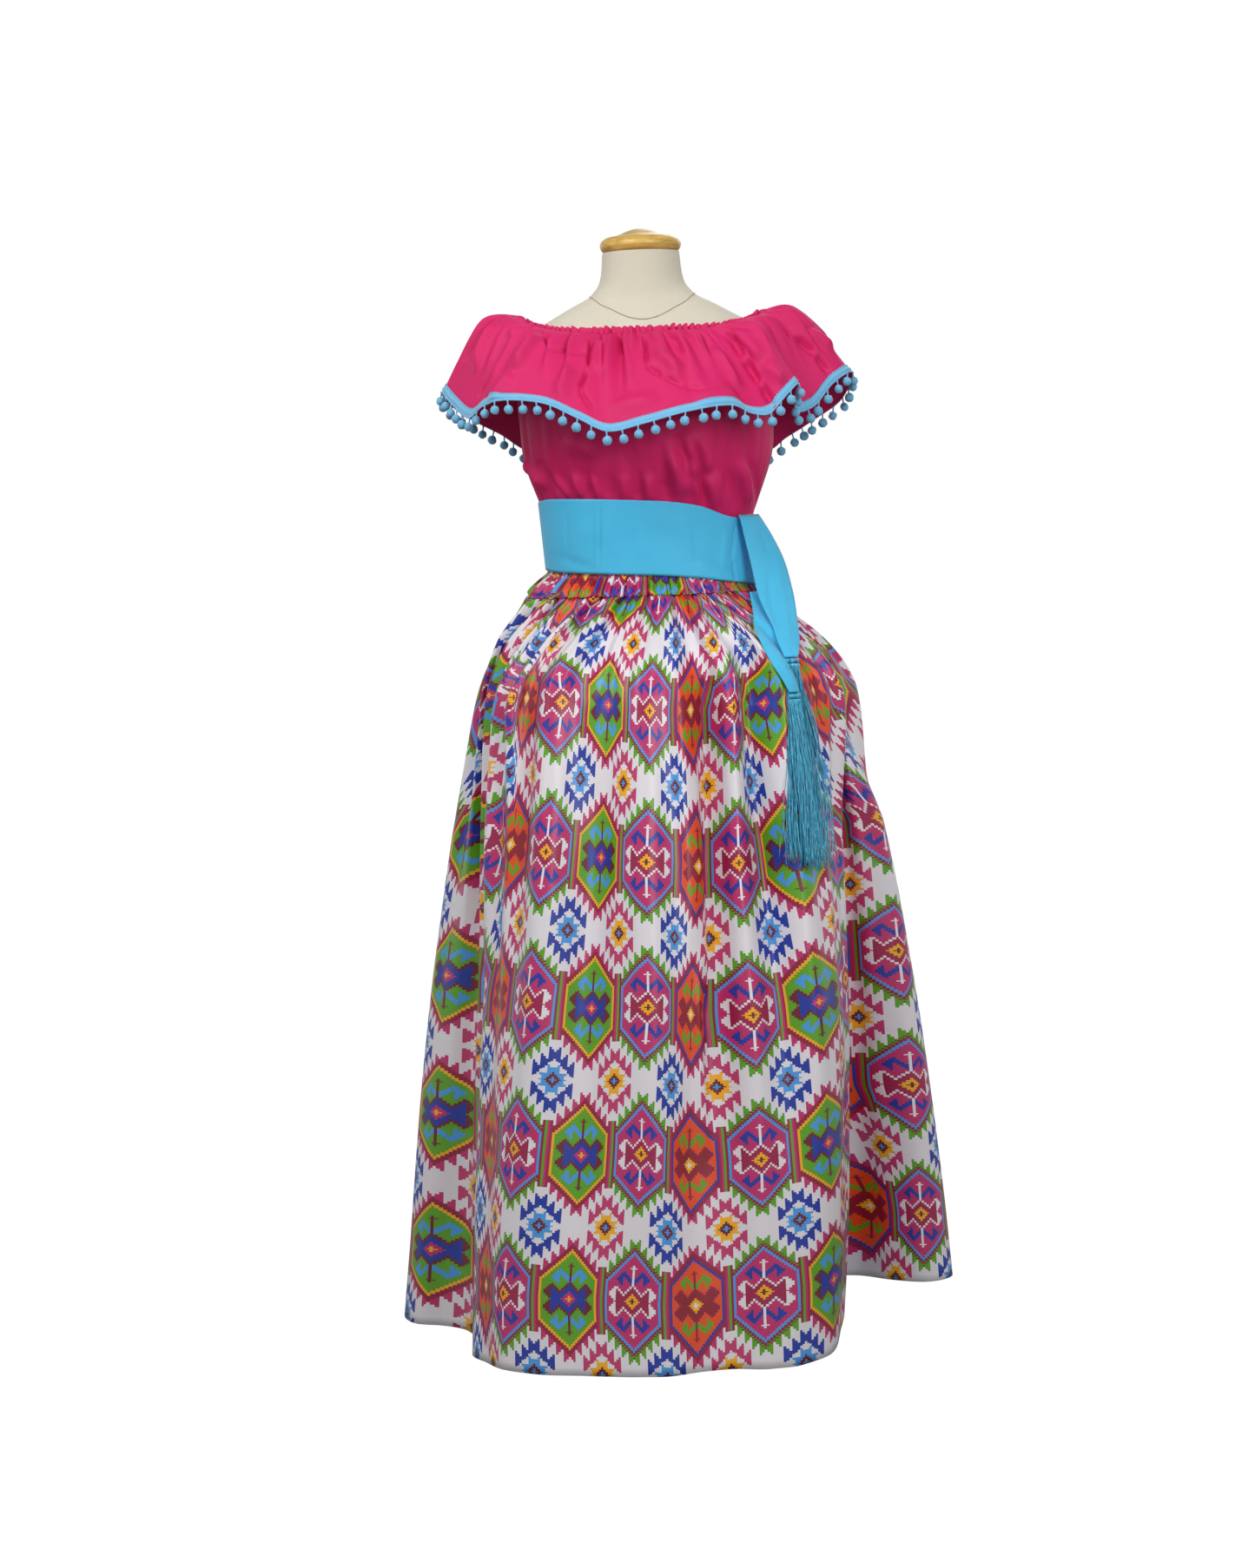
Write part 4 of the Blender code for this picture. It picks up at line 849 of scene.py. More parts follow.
def printed_satin():
    """White satin printed with rows of stepped hexagons and small stars."""
    look = Look("printed_satin_cloth")
    tree, (u, v) = look.tree, look.uv()
    across, up = u * (1.0 / PITCH_X), (v - FIRST_ROW) * (1.0 / PITCH_Y)
    column = (across + 0.5).floor()
    ax = ((u - column * PITCH_X) * (1.0 / CELL_X) + 0.5).floor().size()
    row = (up + 0.5).floor()
    y = (v - FIRST_ROW - row * PITCH_Y) * (1.0 / CELL_Y)
    ay = ((y * 2.0 + 0.5).floor() * 0.5).size()
    quarter = (column * 0.25).part()
    # Kinds of column: 0 pink, 0.5 green, 1 orange.
    kind = quarter.above(0.1) * quarter.below(0.4) * 0.5 + quarter.above(0.6)
    total, rise = ax + ay, ay - ax
    colours = rgb(224, 219, 224)

    def paint(mask, kind, first, second, third):
        nonlocal colours
        colours = mix(tree, mask, colours, by_kind(tree, kind, first, second, third))

    crimson, dark_red, dark_crimson = rgb(142, 4, 52), rgb(106, 2, 28), rgb(142, 8, 34)
    pink, rose, pale_rose = rgb(188, 34, 102), rgb(156, 10, 70), rgb(190, 50, 104)
    green, yellow, orange = rgb(88, 158, 0), rgb(240, 170, 0), rgb(228, 72, 0)
    royal, light_blue, navy = rgb(12, 48, 156), rgb(66, 150, 222), rgb(10, 24, 100)
    white = rgb(228, 222, 226)
    # Teeth and band outside the hexagon.
    edge = total - 21.25
    slant = ax * -1.0 + 2.0
    step = slant - (slant * (1.0 / 3.0) + 0.001).floor() * 3.0
    rim = (ax - 12.5).most(edge)
    teeth = edge.below(step * -2.0 + 7.2) * rim.above(-0.01)
    side = ax.above(12.4) * ay.below(14.3)
    slope = ax.below(12.4)
    band = kind.above(0.2) * 1.2 + 1.3
    paint(teeth * slope, kind, green, pink, pink)
    paint(edge.above(1.9) * edge.below(2.45) * slope * teeth, kind, dark_red, pink, pink)
    paint(edge.below(band) * rim.above(-0.01) * slope, kind, crimson, crimson, crimson)
    paint(side * ax.below(13.4), kind, crimson, rose, rose)
    paint(side * ax.above(13.4), kind, green, pink, pink)
    # The hexagon itself.
    paint(rim.below(0.0), kind, light_blue, yellow, royal)
    paint(total.above(19.2) * total.below(19.8) * ax.below(11.2), kind, navy, yellow, navy)
    paint(ax.below(11.2) * total.below(19.7), kind, pink, green, orange)
    # Stem with its small arms.
    stem = ax.below(0.5) * ay.above(6.9) * ay.below(15.1)
    arms = (ay - 14.0).size().below(0.3) * ax.below(1.6)
    paint(stem.most(arms), kind, white, dark_red, crimson)
    # Hooks above and below the wings.
    line = (rise - 7.4).size().below(1.1) * ax.above(0.5) * ax.below(4.6)
    corner = ax.above(4.6) * total.below(17.1) * rise.above(1.9)
    paint(line.most(corner), kind, royal, light_blue, green)
    # Wings with their border, then the middle diamonds.
    border = kind.above(0.2) * 0.6
    wing = (ax - ay).below(7.6) * rise.below(border - 0.9) * total.below(14.1)
    fill = rise.below(-1.9) * ax.below(7.6) * ay.below(5.1)
    paint(total.below(border + 7.1).most(wing), kind, white, dark_red, crimson)
    paint(total.below(6.1).most(fill), kind, rose, royal, dark_crimson)
    paint(total.below(3.1), kind, yellow, pink, yellow)
    paint(total.below(1.1), kind, dark_red, yellow, white)
    # Small stars between the hexagons: a blue one after a pink column, a yellow one after the others.
    column, row = across.floor(), up.floor()
    bx = ((across - column - 0.5) * (PITCH_X / CELL_X) + 0.5).floor().size()
    by = (((up - row - 0.5) * (PITCH_Y / CELL_Y) * 2.0 + 0.5).floor() * 0.5).size()
    odd = (column * 0.5).part().above(0.25)
    third = (bx * (1.0 / 3.0) + 0.001).floor()
    notch = (bx - third * 3.0) * -1.0 + 2.0
    arm = (by - (third * -3.0 + 10.4)).size()
    total = bx + by
    body = bx.below(2.6) * (by - bx).below(4.2)
    body = body.most(by.below(2.6) * (bx - by).below(3.2)).most(total.below(5.1))
    paint(arm.below(notch * -0.9 + 3.3) * bx.below(8.6), odd, royal, crimson, pale_rose)
    paint(body, odd, light_blue, yellow, yellow)
    paint(total.below(3.1), odd, dark_red, dark_red, dark_red)
    paint(total.below(1.1), odd, light_blue, light_blue, light_blue)
    cloud = look.noise(420.0)
    look.bump(v.threads(0.0009) * 0.5 + cloud, 0.0001, 0.4)
    return look.finish(cloud * 0.04, colours, (0.45, 0.42, 0.46), cloud * 0.10 + 0.30,
                       ("Specular IOR Level", 0.45))


def skirt_spots(shares, downs):
    """Points of the skirt before its folds: a row for each down, from the casing to the hem."""
    folds = hem_values(SKIRT_FRONT, SKIRT_BACK, 2, shares)
    x, y, hip_x, hip_y, bow, rise = (folds[None, :, k] for k in range(6))
    turns = share_turns(shares, SIDE_SEAM_TURN)
    start = form_point(turns, SKIRT_TOP, CASING_OUT + casing_flare(turns, SKIRT_TOP))[None]
    down = downs[:, None]
    over_hips = np.sin(0.5 * math.pi * np.minimum(down / HIP_DOWN, 1.0) ** HIP_ROUND)
    below_hips = (1.0 + HIP_EASE) * down**2 / (down + HIP_EASE)
    outward = np.hypot(hip_x, hip_y)
    swell = bow * np.sin(math.pi * down)
    spot_x = start[..., 0] + (hip_x - start[..., 0]) * over_hips + (x - hip_x) * below_hips
    spot_y = start[..., 1] + (hip_y - start[..., 1]) * over_hips + (y - hip_y) * below_hips
    spot_x = spot_x + hip_x / outward * swell
    spot_y = spot_y + hip_y / outward * swell
    spot_z = SKIRT_TOP + down * (SKIRT_EDGE + rise - SKIRT_TOP)
    return np.stack([spot_x, spot_y, spot_z], axis=-1)


def casing_flare(turns, z):
    """How far the casing leans out below the sash's lower edge."""
    below = round_smooth(SASH_EDGES, turns, 2) - z
    return FLARE * fade(0.0, FLARE_RUN, below)


def skirt_grid():
    """The whole skirt as a ring of cloth with its folds and gathers, and its pattern coordinates."""
    downs = np.concatenate([np.linspace(0.0, 0.20, 38), np.linspace(0.20, 1.0, 72)[1:]])
    base = skirt_spots(SHARES, downs)
    normals = cloth_normals(base, True)
    normals[..., 2] = 0.0
    normals = unit(normals)
    lengths = run_lengths(base)
    v = lengths[-1] - lengths
    u, up = pattern_place(SHARES, v)
    fine = GATHER_FINE * ripple(SHARES, *WAIST_GATHERS)[None] * straight(FINE_GATHERS, downs)[:, None]
    soft = GATHER_SOFT * ripple(SHARES, *SKIRT_WAVES)[None] * straight(SOFT_GATHERS, downs)[:, None]
    height = fine + soft + fold_heights(u / PITCH_X, up) * fade(0.975, 0.86, v)
    grid = base + normals * height[..., None]
    return grid, np.stack([u, up], axis=-1)


def fold_heights(column, up):
    """How far the soft folds stand out, from the printed column and the height up the pattern."""
    rows = np.stack([smooth(SKIRT_FOLDS, column, k) for k in (5, 4, 3, 2, 1)])
    level = np.clip((up - FIRST_ROW) / PITCH_Y, 0.0, 3.999)
    low = np.floor(level).astype(int)
    part = level - low
    i, j = np.indices(column.shape)
    return (rows[low, i, j] * (1.0 - part) + rows[low + 1, i, j] * part) * 0.001


def pattern_place(shares, v):
    """Where each point lies on the printed pattern, along it and up it, in metres."""
    columns, heights = (np.array([straight(row, shares, k) for row in PATTERN_ROWS]) for k in (1, 2))
    last = len(PATTERN_ROWS) - 1
    steps = np.arange(-1, last + 3)
    above = heights[-1:] + PITCH_Y
    heights = np.vstack([heights[:1] - PITCH_Y, heights, above, heights[-1:] + 2.0 * PITCH_Y])
    level = np.stack([np.interp(v[:, j], heights[:, j], steps) for j in range(len(shares))], axis=1)
    held = np.clip(level, 0.0, last - 0.001)
    low = np.floor(held).astype(int)
    part = held - low
    j = np.arange(len(shares))[None]
    along = columns[low, j] * (1.0 - part) + columns[low + 1, j] * part
    return along * PITCH_X, FIRST_ROW + level * PITCH_Y


def cut_panel(grid, uv, first, last):
    """Part of a ring of cloth, drawn in a little at its side seams."""
    columns = np.arange(first, last + 1)
    panel = grid[:, columns % grid.shape[1]].copy()
    panel[:, 0] += unit(panel[:, 1] - panel[:, 0]) * SEAM
    panel[:, -1] += unit(panel[:, -2] - panel[:, -1]) * SEAM
    place_uv = uv[:, columns % grid.shape[1]].copy()
    if last == grid.shape[1]:
        place_uv[:, -1, 0] = 2.0 * place_uv[:, -2, 0] - place_uv[:, -3, 0]
    return panel, place_uv


def skirt(material):
    grid, uv = skirt_grid()
    for name, start, end in (("skirt_front", 0, SKIRT_FRONT_COLUMNS),
                             ("skirt_back", SKIRT_FRONT_COLUMNS, len(SHARES))):
        piece = cloth_piece("cloth_" + name, *cut_panel(grid, uv, start, end))
        place(piece, material, "printed_satin", name)
    return grid


def skirt_casing(material):
    """The elastic waist casing, drawn up in close gathers."""
    shares = np.arange(2 * CASING_COLUMNS) / CASING_COLUMNS
    turns = share_turns(shares, SIDE_SEAM_TURN)
    levels = np.linspace(CASING_TOP, SKIRT_TOP + SEAM, 22)
    reach = GATHER_FINE * ripple(shares, *WAIST_GATHERS) + CASING_PUCKER * ripple(shares, *CASING_GATHERS)
    rows = []
    for z in levels:
        depth = (z - levels[-1]) / (CASING_TOP - SKIRT_TOP)
        flare = casing_flare(turns, z)
        stitched = 1.0 - STITCH_HOLD * math.exp(-(((depth - STITCH_PLACE) / STITCH_WIDTH) ** 2))
        puff = CASING_PUFF * math.sin(math.pi * min(max(depth * 1.6, 0.0), 1.0))
        free = np.clip((round_smooth(SASH_EDGES, turns, 2) - z) / 0.010, 0.25, 1.0)
        points = form_point(turns, z, CASING_OUT + flare + (puff + reach * stitched) * free)
        points[:, 2] = z
        rows.append(points)
    grid = np.array(rows)
    u = (straight(CASING_PATTERN, shares) * PITCH_X)[None] + 0.0 * grid[..., 2]
    up = FIRST_ROW + 6.0 * PITCH_Y + (grid[..., 2] - CASING_ROW_Z) * 1.25
    piece = cloth_piece("cloth_skirt_casing", grid, np.stack([u, up], axis=-1), CASING_WALL, 12.0 * PITCH_X)
    place(piece, material, "printed_satin", "skirt_casing")


def torso(material):
    """The padded form, with its waist, shoulders and neck in one smooth body."""
    turns = np.arange(96) / 96
    levels = np.concatenate([np.linspace(FORM_BOTTOM, 1.25, 60), np.linspace(1.25, NECK_TOP, 60)[1:]])
    grid = form_spot(turns[None], levels[:, None])
    seam = neck_seam_z(turns)
    off_seam = (grid[..., 2] - seam[None]) / NECK_GROOVE_WIDTH
    groove = NECK_GROOVE * np.exp(-(off_seam**2)) - 0.0002 * np.exp(-(((off_seam - 2.2) / 1.5) ** 2))
    centre = np.minimum(np.abs(turns - 0.25), np.abs(turns - 0.75))[None] * 0.6
    down_centre = CENTRE_GROOVE * np.exp(-((centre / CENTRE_GROOVE_WIDTH) ** 2))
    groove = groove + down_centre * (grid[..., 2] < seam[None])
    grid = grid - form_side(turns, levels) * groove[..., None]
    thing = add_mesh("cloth_dress_form", grid[::-1].reshape(-1, 3), closed_faces(*grid.shape[:2]))
    thing.data.set_sharp_from_angle(angle=math.radians(50.0))
    place(thing, material, "linen_cover", "dress_form")


def neck_thread(material):
    """The brown seam line between the neck and the shoulders."""
    turns = np.arange(289) / 288
    line = form_point(turns, neck_seam_z(turns), 0.0001)
    thing = add_mesh("neck_seam_thread", *tube(line, 0.0005, 5))
    place(thing, material, "linen_cover", "dress_form")


def form_side(turns, levels):
    return unit(form_point(turns[None], levels[:, None], 1.0) - form_spot(turns[None], levels[:, None]))


def neck_seam_z(turns):
    """Height of the seam where the neck is sewn to the shoulders."""
    return round_smooth(NECK_SEAM, turns)


def lathe(name, profile, sides, base_z, material, slot, node, middle=(0.0, 0.0)):
    """Turn a smooth outline of radius and height rows into a closed solid."""
    angle = TAU * np.arange(sides) / sides
    grid = np.stack([
        middle[0] + profile[:, :1] * np.cos(angle)[None],
        middle[1] + profile[:, :1] * np.sin(angle)[None],
        base_z + profile[:, 1:] + 0.0 * angle[None],
    ], axis=-1)[::-1]
    thing = add_mesh(name, grid.reshape(-1, 3), closed_faces(len(profile), sides))
    thing.data.set_sharp_from_angle(angle=math.radians(40.0))
    return place(thing, material, slot, node)


def eased(rows, steps):
    """An outline with more rows, eased through the given ones."""
    keys = run_lengths(rows)
    table = np.column_stack([keys, rows])
    at = np.linspace(0.0, keys[-1], steps)
    return np.stack([smooth(table, at, 1), smooth(table, at, 2)], axis=-1)


def stand(wood, steel):
    forward = float(smooth(FORM_SECTIONS, NECK_TOP, 3))
    lathe("cap_turned", eased(CAP_PROFILE, 48), 64, NECK_TOP + SEAM, wood, "varnished_wood", "neck_cap",
          (0.0, -forward))
    lathe("pole_turned", POLE_PROFILE, 48, 0.0, steel, "steel", "stand_pole")
    lathe("base_turned", BASE_PROFILE, 96, 0.0, steel, "steel", "stand_base")


def blouse(material):
    """Bodice halves from under the elastic heading down into the skirt, open at the armholes."""
    tops = np.linspace(0.14, 1.0, 12)
    levels = np.linspace(BLOUSE_CHEST, BLOUSE_HEM, 76)[1:]
    for name, start in (("blouse_front", 0.0), ("blouse_back", 0.5)):
        share = np.linspace(0.0, 1.0, BLOUSE_COLUMNS)
        wide = float(straight(ARMHOLE, BLOUSE_CHEST))
        turn = start + wide + (0.5 - 2.0 * wide) * share
        rows = [neck_point(turn, NECK_DROP + BLOUSE_DROP, -BLOUSE_TUCK)]
        top = neckline_z(turn) - NECK_DROP
        for value in tops:
            z = top + value * (BLOUSE_CHEST - top)
            rows.append(form_point(turn, z, straight(BLOUSE_EASE, z)))
        for z in levels:
            wide = float(straight(ARMHOLE, z))
            turn = start + wide + (0.5 - 2.0 * wide) * share
            rows.append(form_point(turn, z, float(straight(BLOUSE_EASE, z)) * np.ones_like(turn)))
        grid = np.array(rows)
        across = (start + share[None] * 0.5) * BODY_ROUND + 0.0 * grid[..., 2]
        height = BLOUSE_FOLDS * crease_heights(across, grid[..., 2], BLOUSE_CREASES)
        free = fade(1.060, 1.105, grid[..., 2]) * (1.0 - fade(1.235, 1.270, grid[..., 2]))
        pucker = BLOUSE_PUCKER * ripple(start + share * 0.5, *BLOUSE_GATHERS)[None]
        height += pucker * fade(1.06, 1.10, grid[..., 2])
        grid += cloth_normals(grid) * (np.maximum(height, BLOUSE_DEEPEST) * free)[..., None]
        piece = cloth_piece("cloth_" + name, grid, np.stack([across, grid[..., 2]], axis=-1))
        place(piece, material, "fuchsia_satin", name)


def neck_casing(material):
    """The elastic heading of the blouse: a soft tube with a scalloped edge."""
    shares = np.arange(NECK_COLUMNS) / NECK_COLUMNS * 2.0
    turns = share_turns(shares)
    pucker = ripple(shares, *NECK_GATHERS)
    rows = []
    for share in np.linspace(0.0, 1.0, 12):
        points = neck_point(turns, 0.0, NECK_PUCKER * pucker + NECK_SWELL * math.sin(math.pi * share))
        drop = NECK_DROP - NECK_CASING * (1.0 - share)
        points[:, 2] += -drop + NECK_SCALLOP * pucker * (1.0 - share) ** 2
        rows.append(points)
    grid = np.array(rows)
    around = np.linalg.norm(np.diff(grid[0], axis=0), axis=1).sum()
    uv = np.stack([shares[None] * 0.5 * around + 0.0 * grid[..., 2], grid[..., 2]], axis=-1)
    piece = cloth_piece("cloth_neck_casing", grid, uv, NECK_WALL, around)
    place(piece, material, "fuchsia_satin", "neck_casing")


def ruffle_spots(shares, downs):
    """Points of the ruffle before its folds: a row for each down, from the heading to the hem."""
    turns = share_turns(shares)
    hem = hem_values(RUFFLE_FRONT, RUFFLE_BACK, 3, shares)
    stand_off = NECK_WALL / 2 + CLOTH / 2 + SEAM + 0.0009
    start = neck_point(turns, 0.0, np.full(len(turns), stand_off))
    outward = unit(start - neck_point(turns, 0.0, np.zeros(len(turns))))
    down = downs[:, None, None]
    lift = hem[None, :, 3:4] * np.sin(math.pi * down**RUFFLE_ROUND)
    point = start[None] + (hem[None, :, :3] - start[None]) * down + outward[None] * (0.35 * lift)
    point[..., 2] += lift[..., 0]
    return point, outward


def ruffle_grid():
    shares = np.arange(2 * RUFFLE_COLUMNS) / RUFFLE_COLUMNS
    downs = np.linspace(0.0, 1.0, RUFFLE_LEVELS)
    base, outward = ruffle_spots(shares, downs)
    normals = cloth_normals(base, True)
    tight = straight(RUFFLE_GATHERS, downs)[:, None]
    wide = straight(RUFFLE_SWELLS, downs)[:, None]
    uneven = np.clip(0.75 + 0.6 * ripple(shares, *RUFFLE_UNEVEN), 0.15, 1.6)
    pucker = tight * ripple(shares, *NECK_GATHERS)[None]
    gathers = pucker + wide * (uneven * ripple(shares, *RUFFLE_WAVES))[None]
    across = shares[None] * RUFFLE_PANEL + 0.0 * downs[:, None]
    depth = downs[:, None] * RUFFLE_DEPTH + 0.0 * across
    folds = RUFFLE_FOLDS * crease_heights(across, depth, RUFFLE_CREASES)
    grid = base + outward[None] * gathers[..., None] + normals * folds[..., None]
    return shares, grid, np.stack([across, depth], axis=-1)


def ruffle(material, braid_material):
    """The two ruffle halves, and the pompom braid on their hem."""
    shares, grid, uv = ruffle_grid()
    trims = pompom_trim(shares, grid, cloth_normals(grid, True), braid_material)
    for name, start, going in (("ruffle_front", 0, trims), ("ruffle_back", RUFFLE_COLUMNS, ())):
        piece = cloth_piece("cloth_" + name, *cut_panel(grid, uv, start, start + RUFFLE_COLUMNS))
        place(piece, material, "fuchsia_satin", name)


def ball_points(random, count_up=9, count_round=14):
    """A fuzzy ball of unit radius: points and faces."""
    up = np.linspace(0.0, math.pi, count_up)[1:-1, None]
    turn = TAU * np.arange(count_round)[None] / count_round
    ring = np.stack([np.sin(up) * np.cos(turn), np.sin(up) * np.sin(turn), np.cos(up) + 0.0 * turn], axis=-1)
    ring = ring.reshape(-1, 3)
    ring = ring * (1.0 + random.uniform(-0.09, 0.07, (len(ring), 1)))
    points = np.vstack([[(0.0, 0.0, 1.0)], ring, [(0.0, 0.0, -1.0)]])
    faces = []
    for j in range(count_round):
        k = (j + 1) % count_round
        starts = [1 + i * count_round for i in range(count_up - 2)]
        faces.append([0, 1 + j, 1 + k])
        faces += [[a + j, a + count_round + j, a + count_round + k, a + k] for a in starts[:-1]]
        faces.append([starts[-1] + j, len(points) - 1, starts[-1] + k])
    return points, faces


def tube(line, radius, sides):
    """A thin closed tube of few sides along a line: points and faces."""
    line = np.asarray(line, float)
    radius = np.broadcast_to(np.asarray(radius, float), (len(line),))
    along = unit(np.gradient(line, axis=0))
    first = unit(np.cross(along, (0.13, 0.97, 0.21)))[:, None]
    second = np.cross(along, first[:, 0])[:, None]
    turn = (TAU * np.arange(sides) / sides)[None, :, None]
    ring = line[:, None] + radius[:, None, None] * (np.cos(turn) * first + np.sin(turn) * second)
    faces = []
    for i in range(len(line) - 1):
        for j in range(sides):
            k = (j + 1) % sides
            faces.append([i * sides + j, i * sides + k, (i + 1) * sides + k, (i + 1) * sides + j])
    faces.append(list(reversed(range(sides))))
    faces.append([(len(line) - 1) * sides + j for j in range(sides)])
    return ring.reshape(-1, 3), faces


class Heap:
    """Gathers points and faces of many small shapes into one mesh."""

    def __init__(self):
        self.points = []
        self.faces = []
        self.size = 0

    def add(self, points, faces):
        self.points.append(np.asarray(points, float))
        self.faces += [[index + self.size for index in face] for face in faces]
        self.size += len(points)

    def piece(self, name):
        return add_mesh(name, np.vstack(self.points), self.faces)


def pompom_trim(shares, grid, normals, material):
    """Picot braid on the ruffle's hem, with a pompom on a stem below it at each even step."""
    off = CLOTH / 2 + SEAM + BRAID_GAP + BRAID_WALL / 2
    rows = np.linspace(0.0, 1.0, 9)
    top = int(round((1.0 - BRAID / RUFFLE_DEPTH) * (RUFFLE_LEVELS - 1)))
    high, low = grid[top] + normals[top] * off, grid[-1] + normals[-1] * off
    down = unit(low - high)
    fine = np.arange(len(shares) * BRAID_STEPS) / BRAID_STEPS
    index = np.floor(fine).astype(int)
    part = (fine - index)[:, None]
    after = (index + 1) % len(shares)
    high, low, down, side = (values[index] * (1.0 - part) + values[after] * part
                             for values in (high, low, down, normals[-1]))
    around = run_lengths(low)
    picot = np.maximum(0.0, np.sin(TAU * around / PICOT)) ** 0.6
    edges = {0.0: -PICOT_REACH, 1.0: PICOT_REACH * 0.6}
    grid_rows = []
    for row in rows:
        ridge = BRAID_RIDGE * math.cos(TAU * (row - 0.5) * 1.5) * (1.0 if 0.1 < row < 0.9 else 0.0)
        edge = edges.get(float(row), 0.0) * picot
        grid_rows.append(high + (low - high) * row + side * ridge + down * edge[:, None])
    uv = np.stack([around[None] + 0.0 * rows[:, None], rows[:, None] * BRAID + 0.0 * around[None]], axis=-1)
    braid = cloth_piece("braid_tape", np.array(grid_rows), uv, BRAID_WALL, float(around[-1]))
    place(braid, material, "blue_braid", "pompom_trim")
    random = np.random.default_rng(7)
    heap = Heap()
    marks = [(k + POMPOM_SHIFT) / FRONT_POMPOMS for k in range(FRONT_POMPOMS)]
    marks += [1.0 + (k + POMPOM_SHIFT) / BACK_POMPOMS for k in range(BACK_POMPOMS)]
    for mark in marks:
        spot = int(round(mark * RUFFLE_COLUMNS * BRAID_STEPS)) % len(low)
        root = low[spot]
        along = unit(low[(spot + 1) % len(low)] - low[spot - 1])
        along[2] = 0.0
        along = unit(along)
        across = np.cross(along, np.array([0.0, 0.0, 1.0]))
        swing = across * (0.12 + random.uniform(-0.10, 0.10)) + along * random.uniform(-0.22, 0.22)
        fall = unit(np.array([0.0, 0.0, -1.0]) + swing)
        length = STEM_LENGTH + random.uniform(-0.0008, 0.0006)
        line = [root + fall * run for run in (-0.001, 0.4 * length, length, length + 0.003)]
        heap.add(*tube(line, [0.0013, 0.0010, 0.0010, 0.0008], 4))
        size = POMPOM_RADIUS * random.uniform(0.92, 1.03)
        points, faces = ball_points(random)
        spin = random.uniform(0.0, TAU)
        turn = np.array([(math.cos(spin), -math.sin(spin), 0.0),
                         (math.sin(spin), math.cos(spin), 0.0), (0.0, 0.0, 1.0)])
        centre = root + fall * (length + size * 0.85)
        heap.add(points @ turn.T * size + centre, faces)
    balls = heap.piece("pompoms")
    place(balls, material, "blue_braid", "pompom_trim")
    return [braid, balls]


def sash_points(turns, shares, inset):
    """Points of the sash: a row for each share of the way down from its top edge."""
    top, bottom, out_top, out_bottom = (round_smooth(SASH_EDGES, turns, column) for column in (1, 2, 3, 4))
    high = form_point(turns, top, out_top - inset)
    low = form_point(turns, bottom, out_bottom - inset)
    return high[None] + (low - high)[None] * shares[:, None, None]


def sash(material):
    """The outer stretch round the waist and the inner stretch that shows by the wearer's left hip."""
    shares = np.linspace(0.0, 1.0, 29)
    for name, ends, columns, inset, cut, creases in (
        ("sash_band", SASH_TURNS, 640, 0.0, BAND_CUT, SASH_CREASES),
        ("sash_under", UNDER_TURNS, 60, UNDER_INSET, UNDER_CUT, []),
    ):
        turns = np.linspace(*ends, columns)
        grid = sash_points(turns, shares, inset)
        run = run_lengths(grid[len(shares) // 2])
        across = run[None] + 0.0 * shares[:, None]
        depth = shares[:, None] * BAND_CUT[1] + 0.0 * run[None]
        height = crease_heights(across, depth, creases)
        grid = grid + cloth_normals(grid) * height[..., None]
        piece = cloth_piece("cloth_" + name, grid, np.stack([depth, across], axis=-1), SASH_WALL)
        place(piece, material, "turquoise_ribbon", name)


def skirt_front_y(grid, x, z):
    """How far forward the skirt reaches at x and z."""
    lines = (grid[:, j] for j in range(SKIRT_FRONT_COLUMNS // 3, SKIRT_FRONT_COLUMNS + 1))
    cut = np.array([[np.interp(-z, -line[:, 2], line[:, k]) for k in (0, 1)] for line in lines])
    near = cut[(cut[:, 1] < 0.0) & (np.abs(cut[:, 0] - x) < 0.012)]
    return float(near[:, 1].min()) if len(near) else 0.0


def sash_end(name, rows, off, skirt_points, material, creases):
    """A folded end of the sash that falls down the skirt, clear of it by off."""
    table = rows * TURNED[:len(rows[0])]
    levels = np.linspace(rows[0, 0], rows[-1, 0], 64)
    shares = np.linspace(0.0, 1.0, 17)
    edges = [smooth(table, -levels, column) for column in (1, 2, 3, 4)]
    grid = np.zeros((len(levels), len(shares), 3))
    for i, z in enumerate(levels):
        left_x, left_y, right_x, right_y = (edge[i] for edge in edges)
        swell = TAIL_SWELL * 4.0 * shares * (1.0 - shares)
        x = left_x + (right_x - left_x) * shares
        y = left_y + (right_y - left_y) * shares - swell
        if z < SKIRT_TOP:
            y = np.minimum(y, [skirt_front_y(skirt_points, value, z) - off + 0.004 for value in x])
        grid[i] = np.stack([x, y, np.full(len(x), z)], axis=-1)
    for _ in range(4):
        inner = grid[1:-1, :, 1]
        grid[1:-1, :, 1] = np.minimum(inner, (grid[:-2, :, 1] + grid[2:, :, 1]) / 2)
    run = run_lengths(grid)
    wide = np.linalg.norm(grid[:, -1] - grid[:, 0], axis=1)[:, None] * shares[None]
    grid = grid + cloth_normals(grid) * crease_heights(wide, run, creases)[..., None]
    piece = cloth_piece("cloth_" + name, grid, np.stack([wide, run], axis=-1), CLOTH)
    place(piece, material, "turquoise_ribbon", name)
    return piece, grid[-1]


